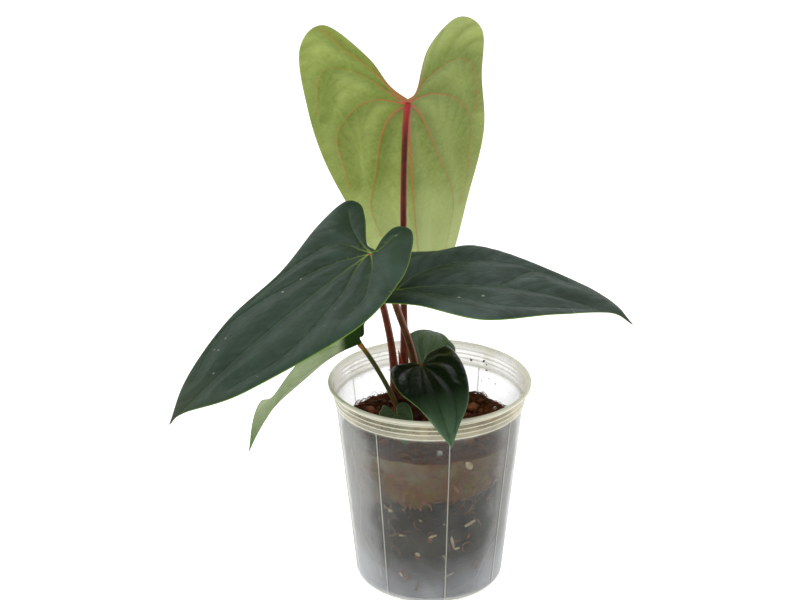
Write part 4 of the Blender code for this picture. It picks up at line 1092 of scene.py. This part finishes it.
# where the columns of the wall stand: evenly, and closer together over each rib
def potColumns(turns, ribHalf):
    angles = set()
    for turn in turns:
        for share in (-1.6, -1.0, -0.5, 0.0, 0.5, 1.0, 1.6):
            angles.add(round((turn + share * ribHalf) % (2 * math.pi), 7))
    for k in range(pot["columns"]):
        angle = 2 * math.pi * k / pot["columns"]
        if abs(fromRib(angle, turns)) > 2.0 * ribHalf:
            angles.add(round(angle, 7))
    return sorted(angles)


def buildPot(material):
    outside, inside = potProfile()
    rows = outside + inside
    ribHalf = pot["ribWidth"] / 2 / pot["collarRadius"]
    turns = [math.radians(pot["ribTurn"]) + 2 * math.pi * k / pot["ribs"] for k in range(pot["ribs"])]
    angles = potColumns(turns, ribHalf)
    verts, lines, ribShades, fogs = [], [], [], []
    for angle in angles:
        degrees = math.degrees(angle) - 360 if angle > math.pi / 2 else math.degrees(angle)
        fog = float(np.interp(degrees, pot["fogTurns"], pot["fogShares"]))
        off = fromRib(angle, turns) / ribHalf
        rib = math.exp(-(off / 0.55) ** 2) if abs(off) < 1.7 else 0.0
        for row, (radius, z, line) in enumerate(rows):
            body = 3 <= row <= 37
            grow = pot["ribRise"] * rib if body else 0.0
            verts.append(((radius + grow) * math.cos(angle), (radius + grow) * math.sin(angle), z))
            lines.append(max(line, 0.95 * rib if row <= 37 else 0.0))
            # painted shade: a dark line beside each rib, on its side towards the front
            beside = off if math.cos(angle) < 0 else -off
            ribShades.append(math.exp(-((beside - 1.0) / 0.45) ** 2) if body else 0.0)
            fogs.append(fog)
    count, size = len(angles), len(rows)
    faces = []
    for i in range(count):
        j = (i + 1) % count
        faces += [(i * size + row, j * size + row, j * size + row + 1, i * size + row + 1)
                  for row in range(size - 1)]
    # base with its round drain holes, floor above and underside below, cut from the same flat pattern
    loops = [[(rows[end][0] * math.cos(a), rows[end][0] * math.sin(a)) for a in angles] for end in (0, -1)]
    holeSides, hole = pot["holeSides"], pot["drainRadius"]
    drainTurns = [2 * math.pi * (k + 0.5) / pot["drains"] for k in range(pot["drains"])]
    drains = [(pot["drainRing"] * math.cos(turn), pot["drainRing"] * math.sin(turn)) for turn in drainTurns]

    def fromDrain(point):
        return min(math.hypot(point[0] - x, point[1] - y) for x, y in drains)
    for level, (loop, z) in enumerate(zip(loops, (0.0, rows[-1][1]))):
        flat = list(loop)
        rings = []
        for x, y in drains:
            rings.append(range(len(flat), len(flat) + holeSides))
            flat += [(x + hole * math.cos(2 * math.pi * n / holeSides),
                      y + hole * math.sin(2 * math.pi * n / holeSides)) for n in range(holeSides)]
        grid = [(r * math.cos(a), r * math.sin(a)) for r in pot["baseRings"]
                for a in np.linspace(0, 2 * math.pi, 48, endpoint=False)]
        flat += [point for point in grid if fromDrain(point) > hole * 1.15]
        edges = [(ring[n], ring[(n + 1) % holeSides]) for ring in rings for n in range(holeSides)]
        cut = delaunay_2d_cdt([(1000 * x, 1000 * y) for x, y in flat], edges, [list(range(count))], 1, 1e-4)
        start = len(verts)
        index = {}
        for n, sources in enumerate(cut[3]):
            for source in sources:
                index[source] = n
        mapped = {}
        for n, point in enumerate(cut[0]):
            mapped[n] = start + n
            verts.append((point[0] / 1000, point[1] / 1000, z))
            lines.append(0.15)
            ribShades.append(0.0)
            fogs.append(0.5)
        for i in range(count):
            if i in index:
                mapped[index[i]] = i * size + (0 if level == 0 else size - 1)
        for face in cut[2]:
            middle = np.mean([tuple(cut[0][n]) for n in face], axis=0) / 1000
            if fromDrain(middle) < hole * 0.97:
                continue
            turned = [mapped[n] for n in face]
            faces.append(tuple(turned[::-1]) if level == 0 else tuple(turned))
        loops[level] = [[start + index[n] for n in ring] for ring in rings]
    for below, above in zip(loops[0], loops[1]):
        for n in range(holeSides):
            m = (n + 1) % holeSides
            faces.append((below[m], below[n], above[n], above[m]))
    thing = meshObject("pot", verts, faces)
    paint(thing, "line", lines)
    paint(thing, "ribShade", ribShades)
    paint(thing, "fog", fogs)
    print("pot", len(thing.data.polygons), "faces")
    return place(thing, material, "pot_plastic", "pot")


# growing mix, in metres
mix = {
    "gap": 0.0006, "rings": 46, "columns": 150, "levels": 42, "topLevel": 0.0935, "wallTop": 0.0950,
    "bankRise": 0.0032, "bankFrom": 0.040, "bankReach": 0.008, "lumpRise": 0.0022, "fineRise": 0.00045,
    "raggedBy": 0.014, "bandFrom": (0.068, 0.077), "paleFrom": (0.082, 0.088), "footTo": (0.030, 0.006),
    "fibres": 1300, "chips": 230, "wallChips": 60, "wallFibres": 620,
    "topDark": (0.022, 0.008, 0.003), "topRust": (0.20, 0.060, 0.016), "bandRust": (0.135, 0.050, 0.018),
    "bandOlive": (0.125, 0.095, 0.012), "middle": (0.014, 0.014, 0.010), "middleBrown": (0.036, 0.026, 0.017),
    "upper": (0.190, 0.150, 0.100), "bottom": (0.19, 0.19, 0.205), "bitTone": (0.33, 0.27, 0.16),
}
# threads that stand up: foot, lean, height and radius
standingThreads = (
    ((-0.0395, 0.0120), (0.0, 0.0), 0.0190, 0.00011), ((-0.0445, 0.0040), (-0.002, 0.0), 0.0085, 0.00012),
    ((-0.0350, 0.0150), (0.004, 0.0), 0.0060, 0.00016), ((0.0330, 0.0200), (0.0015, 0.0), 0.0065, 0.00020),
    ((0.0400, 0.0080), (-0.001, 0.002), 0.0060, 0.00018), ((0.0440, 0.0020), (0.002, 0.0), 0.0075, 0.00012),
    ((-0.0270, 0.0260), (0.005, 0.002), 0.0060, 0.00020), ((0.0280, 0.0300), (-0.004, 0.001), 0.0070, 0.00022),
)


def mixHeight(x, y):
    reach = np.hypot(x, y)
    lumps = np.sin(210 * x + 1.3) * np.cos(190 * y - 0.4) + 0.6 * np.sin(370 * x - 260 * y + 0.8)
    fine = np.sin(900 * x + 300 * y) * np.cos(820 * y - 260 * x) + 0.6 * np.sin(1500 * x + 1.7) * np.cos(1630 * y)
    bank = mix["bankRise"] * np.clip((reach - mix["bankFrom"]) / mix["bankReach"], 0, 1) ** 2
    mound = mix["lumpRise"] * (0.35 * lumps + 0.5 * np.exp(-(reach / 0.02) ** 2))
    return mix["topLevel"] + bank + mound + mix["fineRise"] * fine


def buildMixMaterial(mottle, streaks, flecks):
    material, tree, shader = newMaterial("growingMix", roughness=1.0, specular=0.05)
    where = addNode(tree, "ShaderNodeTexCoord").outputs["Object"]
    parts = addNode(tree, "ShaderNodeSeparateXYZ", {"Vector": where})
    level = parts.outputs["Z"]
    cloud = useGroup(tree, mottle, {"Vector": where, "Scale": 55.0, "Contrast": 1.2})["Value"]
    patch = useGroup(tree, mottle, {"Vector": where, "Scale": 140.0, "Contrast": 1.4})["Value"]
    grain = useGroup(tree, mottle, {"Vector": where, "Scale": 480.0, "Contrast": 1.2})["Value"]
    lines = useGroup(tree, streaks, {"Vector": where, "Scale": 420.0, "Stretch": 0.45})["Value"]
    uneven = maths(tree, "MULTIPLY", maths(tree, "SUBTRACT", cloud, 0.5), mix["raggedBy"])
    lifted = maths(tree, "ADD", level, uneven)
    band = mixColor(tree, patch, mix["bandRust"], mix["bandOlive"])
    core = mixColor(tree, patch, mix["middle"], mix["middleBrown"])
    pale = mixColor(tree, cloud, band, mix["upper"])
    tone = mixColor(tree, span(tree, lifted, *mix["bandFrom"]), core, band)
    tone = mixColor(tree, span(tree, lifted, *mix["paleFrom"]), tone, pale)
    tone = mixColor(tree, span(tree, lifted, *mix["footTo"]), tone, mix["bottom"])
    surface = mixColor(tree, lines, mix["topDark"], mix["topRust"])
    tone = mixColor(tree, attribute(tree, "top"), tone, surface)
    rough = maths(tree, "MULTIPLY", maths(tree, "SUBTRACT", grain, 0.5), 0.35)
    shade = addNode(tree, "ShaderNodeHueSaturation", {"Color": tone, "Value": maths(tree, "ADD", rough, 1.0)})
    bits = useGroup(tree, flecks, {"Vector": where, "Scale": 230.0, "Share": 0.05})["Mask"]
    tone = mixColor(tree, maths(tree, "MULTIPLY", bits, 0.6), shade.outputs["Color"], mix["bitTone"])
    tree.links.new(tone, shader.inputs["Base Color"])
    bumpFrom(tree, shader, patch, 0.0010, 0.5)
    return material


def buildMix(material):
    columns = mix["columns"]
    angles = 2 * np.pi * np.arange(columns) / columns
    rng = np.random.default_rng(5)
    verts, top = [], []
    levels = np.linspace(mixFoot, mix["wallTop"], mix["levels"])
    for z in levels:
        radius = wallRadius(z) - pot["wall"] - mix["gap"]
        dents = 0.0005 * (np.sin(9 * angles + 400 * z) * np.cos(17 * angles - 260 * z)
                          + np.sin(31 * angles + 900 * z) * 0.7) - 0.0004
        for angle, dent in zip(angles, dents):
            verts.append(((radius + dent) * math.cos(angle), (radius + dent) * math.sin(angle), z))
            top.append(0.0)
    outer = wallRadius(mix["wallTop"]) - pot["wall"] - mix["gap"]
    shares = np.linspace(1.0, 0.03, mix["rings"])
    for share in shares:
        x, y = outer * share * np.cos(angles), outer * share * np.sin(angles)
        z = mixHeight(x, y)
        if share > 0.96:
            z = z - 0.0008
        for a, b, c in zip(x, y, z):
            verts.append((a, b, c + rng.uniform(-0.00022, 0.00022)))
            top.append(1.0)
    thing = meshObject("growingMix", verts, ringFaces(len(levels) + len(shares), columns))
    paint(thing, "top", top)
    return place(thing, material, "mix", "mix")


# dark and light tone of each fibre, bark, root and grain
fibreLooks = {
    "barkBrown": ((0.035, 0.012, 0.005), (0.30, 0.085, 0.018)), "paleBark": ((0.26, 0.19, 0.07), (0.60, 0.52, 0.34)),
    "coirThread": ((0.014, 0.005, 0.002), (0.20, 0.060, 0.014)),
    "coirThreadWall": ((0.06, 0.022, 0.007), (0.34, 0.15, 0.05)),
    "rootBrown": ((0.030, 0.012, 0.007), (0.12, 0.055, 0.028)),
    "whiteGrain": ((0.62, 0.58, 0.48), (0.86, 0.84, 0.78)),
}


def buildFibreMaterial(name, dark, light, streaks):
    material, tree, shader = newMaterial(name, roughness=0.75, specular=0.3)
    where = addNode(tree, "ShaderNodeTexCoord").outputs["Object"]
    lines = useGroup(tree, streaks, {"Vector": where, "Scale": 320.0, "Stretch": 0.7})["Value"]
    tree.links.new(mixColor(tree, lines, dark, light), shader.inputs["Base Color"])
    bumpFrom(tree, shader, lines, 0.0002, 0.5)
    return material


# coir threads that lie on the mix, some of them standing up a little
def buildFibres(material):
    rng = np.random.default_rng(21)
    parts = []
    outer = wallRadius(mix["wallTop"]) - pot["wall"] - 0.0015
    while len(parts) < mix["fibres"]:
        reach, turn = outer * math.sqrt(rng.uniform(0.02, 1.0)), rng.uniform(0, 2 * math.pi)
        spot = np.array((reach * math.cos(turn), reach * math.sin(turn)))
        heading, length = rng.uniform(0, 2 * math.pi), rng.uniform(0.005, 0.016)
        bend = rng.uniform(-2.5, 2.5)
        lift = rng.uniform(-0.0004, 0.0015) + (rng.uniform(0, 0.0035) if rng.uniform() < 0.16 else 0.0)
        path = []
        for k in range(8):
            t = k / 7
            angle = heading + bend * (t - 0.5)
            here = spot + length * (t - 0.5) * np.array((math.cos(angle), math.sin(angle)))
            size = np.hypot(*here)
            if size > outer:
                here = here * outer / size
            rise = float(mixHeight(*here)) + lift * (1 - (2 * t - 1) ** 2) + 0.0002
            path.append((*here, rise))
        radius = rng.uniform(0.00012, 0.00032) * np.linspace(1.0, 0.55, 8)
        parts.append(tube(path, radius, 5)[:2])
    for base, lean, tall, thick in standingThreads:
        path = [np.array((base[0] + lean[0] * t * t, base[1] + lean[1] * t * t, float(mixHeight(*base)) + tall * t))
                for t in np.linspace(0, 1, 12)]
        parts.append(tube(path, thick * np.linspace(1, 0.4, 12), 5)[:2])
    verts, faces = joinParts(parts)
    thing = meshObject("mixFibres", verts, faces)
    return place(thing, material, "mix")


# a broken chip: a rounded, ragged slab with a grain along its length
def chip(rng, centre, length, width, height, turn, tilt=0.0, roll=0.0):
    around, levels = 14, 5
    verts = []
    wobble = rng.uniform(-0.16, 0.16, around)
    end = rng.uniform(0.75, 1.0, 2)
    for level in range(levels):
        v = level / (levels - 1) * 2 - 1
        shrink = (1 - 0.45 * abs(v) ** 2.2)
        for k in range(around):
            a = 2 * math.pi * k / around
            c, s = math.cos(a), math.sin(a)
            px = math.copysign(abs(c) ** 0.7, c) * length / 2 * shrink * (1 + wobble[k]) * end[0 if c > 0 else 1]
            py = math.copysign(abs(s) ** 0.7, s) * width / 2 * shrink * (1 + 0.7 * wobble[(k + 5) % around])
            pz = v * height / 2 * (1 + 0.5 * wobble[(k + 2) % around]) + 0.06 * height * math.sin(3 * a)
            verts.append((px, py, pz))
    verts = np.array(verts)
    spin = Euler((roll, tilt, turn)).to_matrix()
    verts = verts @ np.array(spin).T + np.array(centre)
    return verts, ringFaces(levels, around)


def buildLooseChips(material):
    rng = np.random.default_rng(8)
    parts = []
    outer = wallRadius(mix["wallTop"]) - pot["wall"] - 0.004
    for k in range(mix["chips"]):
        reach, turn = outer * math.sqrt(rng.uniform(0.03, 1.0)), rng.uniform(0, 2 * math.pi)
        x, y = reach * math.cos(turn), reach * math.sin(turn)
        length = rng.uniform(0.0022, 0.0068)
        parts.append(chip(rng, (x, y, float(mixHeight(x, y)) + rng.uniform(-0.0002, 0.0010)), length,
                          length * rng.uniform(0.3, 0.7), length * rng.uniform(0.2, 0.4), rng.uniform(0, 6.28),
                          rng.uniform(-0.5, 0.5), rng.uniform(-0.5, 0.5)))
    verts, faces = joinParts(parts)
    return place(meshObject("looseChips", verts, faces), material, "bark")


barkTurns = (60, 15, 100, 140, 35, 80)  # degrees, one for each bark piece


def buildBark(material):
    rng = np.random.default_rng(14)
    for k, turn in enumerate(barkTurns, 1):
        node = "bark_%d" % k
        low, high = boxOf(node)
        middle, size = (low + high) / 2, high - low
        long = max(size[0], size[1])
        part = chip(rng, middle - (0, 0, 0.0006), long * 1.0, long * 0.55, size[2] * 1.1, math.radians(turn),
                    rng.uniform(-0.15, 0.15), rng.uniform(-0.15, 0.15))
        place(meshObject("barkChip%d" % k, *part), material, "bark", node)


def buildGrains(material):
    for k in range(1, 5):
        node = "grain_%d" % k
        low, high = boxOf(node)
        middle, radius = (low + high) / 2, (high - low).max() / 2
        rows, sides = 12, 18
        verts = []
        for row in range(rows + 1):
            polar = math.pi * row / rows
            for side in range(sides):
                a = 2 * math.pi * side / sides
                way = np.array((math.sin(polar) * math.cos(a), math.sin(polar) * math.sin(a), math.cos(polar)))
                swell = 1 + 0.10 * math.sin(5 * way[0] + k) * math.cos(6 * way[1] - k)
                swell += 0.05 * math.sin(13 * way[2] + 4 * way[0])
                verts.append(middle - (0, 0, 0.0004) + way * radius * 0.93 * swell)
        faces = []
        for row in range(rows):
            for side in range(sides):
                a, b = row * sides + side, row * sides + (side + 1) % sides
                faces.append((a, a + sides, b + sides, b))
        place(meshObject("whiteGrain%d" % k, verts, faces), material, "grain", node)


# start, finish, arch and radius of each surface root
rootRuns = {
    1: ((-0.0400, 0.0270), (-0.0200, 0.0330), 0.0050, 0.0006),
    2: ((0.0180, 0.0420), (0.0370, 0.0300), 0.0070, 0.0005),
    3: ((-0.0300, 0.0060), (-0.0380, -0.0130), 0.0040, 0.0006),
}


def buildRoots(material):
    for k, ((ax, ay), (bx, by), arch, radius) in rootRuns.items():
        start = np.array((ax, ay, float(mixHeight(ax, ay)) - 0.001))
        finish = np.array((bx, by, float(mixHeight(bx, by)) - 0.001))
        lift = np.array((0.0, 0.0, arch))
        path = bezier((start, start * 0.7 + finish * 0.3 + lift, start * 0.25 + finish * 0.75 + lift, finish), 48)
        t = np.linspace(0, 1, 48)
        path = path + np.stack([0.0004 * np.sin(17 * t), 0.0004 * np.cos(13 * t), 0.0002 * np.sin(29 * t)], -1)
        radii = radius * (1 + 0.18 * np.sin(23 * t + k) * np.sin(9 * t))
        verts, faces, along = tube(path, radii, 12)
        place(meshObject("airRoot%d" % k, verts, faces), material, "root", "root_%d" % k)


# pale chips that show through the wall: turn in degrees, height, length, width and lean
paleChips = (
    (-98.5, 0.0335, 0.0042, 0.0020, -0.6), (-87.5, 0.0465, 0.0058, 0.0014, 0.35),
    (-109.0, 0.0455, 0.0052, 0.0012, 0.15), (-60.0, 0.0520, 0.0085, 0.0022, 0.30),
    (-73.0, 0.0415, 0.0105, 0.0016, -1.35), (-78.5, 0.0310, 0.0050, 0.0010, -1.0),
    (-118.0, 0.0610, 0.0044, 0.0018, 0.2), (-112.0, 0.0175, 0.0040, 0.0014, -1.1),
    (-75.0, 0.0180, 0.0080, 0.0009, 0.35), (-64.0, 0.0925, 0.0070, 0.0042, -0.9),
)


# chips and threads pressed against the inside of the wall
def buildWallBits(chipMaterial, paleMaterial, threadMaterial):
    rng = np.random.default_rng(31)
    brown, pale, threads = [], [], []
    for n in range(mix["wallChips"] + len(paleChips)):
        if n < len(paleChips):
            turn, z, length, width, lean = paleChips[n]
            angle = math.radians(turn)
            kind = pale
        else:
            angle, z = rng.uniform(0, 2 * math.pi), rng.uniform(0.006, 0.090)
            length = rng.uniform(0.0015, 0.0050)
            width, lean = length * rng.uniform(0.25, 0.6), rng.uniform(0, 3.1)
            kind = pale if rng.uniform() < 0.16 else brown
        radius = wallRadius(z) - pot["wall"] - mix["gap"] - 0.0002
        slab, faces = chip(rng, (0, 0, 0), length, width, 0.0009, 0.0)
        c, s = math.cos(lean), math.sin(lean)
        acrossWay = np.array((-math.sin(angle), math.cos(angle), 0.0))
        upWay, outWay = np.array((0.0, 0.0, 1.0)), np.array((math.cos(angle), math.sin(angle), 0.0))
        first, second = acrossWay * c + upWay * s, upWay * c - acrossWay * s
        verts = radius * outWay + (0, 0, z) + slab[:, :1] * first + slab[:, 1:2] * second + slab[:, 2:] * outWay
        kind.append((verts, faces))
    for n in range(mix["wallFibres"]):
        angle = rng.uniform(0, 2 * math.pi)
        z = rng.uniform(0.062, 0.088) if n % 4 else rng.uniform(0.008, 0.062)
        heading, length, bend = rng.uniform(0, 6.28), rng.uniform(0.004, 0.013), rng.uniform(-2.2, 2.2)
        path = []
        for t in np.linspace(-0.5, 0.5, 8):
            way = heading + bend * t
            here = angle + length * t * math.cos(way) / 0.05
            high = min(max(z + length * t * math.sin(way), 0.004), 0.0940)
            radius = wallRadius(high) - pot["wall"] - mix["gap"] - 0.0001
            path.append((radius * math.cos(here), radius * math.sin(here), high))
        threads.append(tube(path, rng.uniform(0.00012, 0.00030), 5)[:2])
    place(meshObject("wallChipsBrown", *joinParts(brown)), chipMaterial, "bark")
    place(meshObject("wallChipsPale", *joinParts(pale)), paleMaterial, "bark")
    place(meshObject("wallThreads", *joinParts(threads)), threadMaterial, "mix")


# dark crumbs of mix stuck to the bare inside of the wall: turn in degrees, height and size
crumbs = (
    (62.0, 0.1165, 0.00085), (52.5, 0.1180, 0.00080), (50.5, 0.1160, 0.00050), (49.5, 0.1130, 0.00070),
    (47.0, 0.1080, 0.00045), (41.0, 0.1065, 0.00045), (53.0, 0.1050, 0.00040), (118.0, 0.1100, 0.0005),
    (215.0, 0.1040, 0.0006), (330.0, 0.1045, 0.0005),
)


def buildCrumbs(material):
    rng = np.random.default_rng(17)
    parts = []
    for turn, z, size in crumbs:
        angle = math.radians(turn)
        radius = pot["collarRadius"] if z > potHeight - pot["collarHeight"] else wallRadius(z)
        radius = radius - pot["wall"] - size * 0.45
        parts.append(chip(rng, (radius * math.cos(angle), radius * math.sin(angle), z), size * 2.2, size * 1.6,
                          size * 1.3, rng.uniform(0, 6.28), 0.8, 0.6))
    verts, faces = joinParts(parts)
    place(meshObject("wallCrumbs", verts, faces), material, "mix")


# everything is made here, in order
buildStudio()
buildFloor()
print("studio and floor ready")
mottle, flecks, streaks = buildMottle(), buildFlecks(), buildStreaks()
skin = buildBladeSkin(mottle, flecks)
leafMaterials = {name: buildLeafMaterial(name, look, skin) for name, look in bladeLooks.items()}
stalkMaterials = {name: buildStalkMaterial(name, tones, streaks, mottle) for name, tones in stalkLooks.items()}
print("materials ready")

for name, leaf in leaves.items():
    look, slotName = bladeFinish[name]
    buildBlade(name, leaf, leafMaterials[look], slotName)
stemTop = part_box("stem")[1][2]
for name, stalk in stalks.items():
    buildStalk(name, leaves[name], stalk, stalkMaterials[stalk["look"]], stemTop)
buildSheaths(stalkMaterials["sheathRed"], buildStem(stalkMaterials["stemBrown"]))
buildShoot(stalkMaterials["shootRed"])
print("stalks, stem and shoot built")

buildPot(buildPotMaterial(mottle, streaks))
buildMix(buildMixMaterial(mottle, streaks, flecks))
fibreMaterials = {name: buildFibreMaterial(name, dark, light, streaks) for name, (dark, light) in fibreLooks.items()}
buildFibres(fibreMaterials["coirThread"])
buildLooseChips(fibreMaterials["barkBrown"])
buildBark(fibreMaterials["barkBrown"])
buildGrains(fibreMaterials["whiteGrain"])
buildRoots(fibreMaterials["rootBrown"])
buildWallBits(fibreMaterials["barkBrown"], fibreMaterials["paleBark"], fibreMaterials["coirThreadWall"])
buildCrumbs(fibreMaterials["rootBrown"])
print("pot and growing mix built")
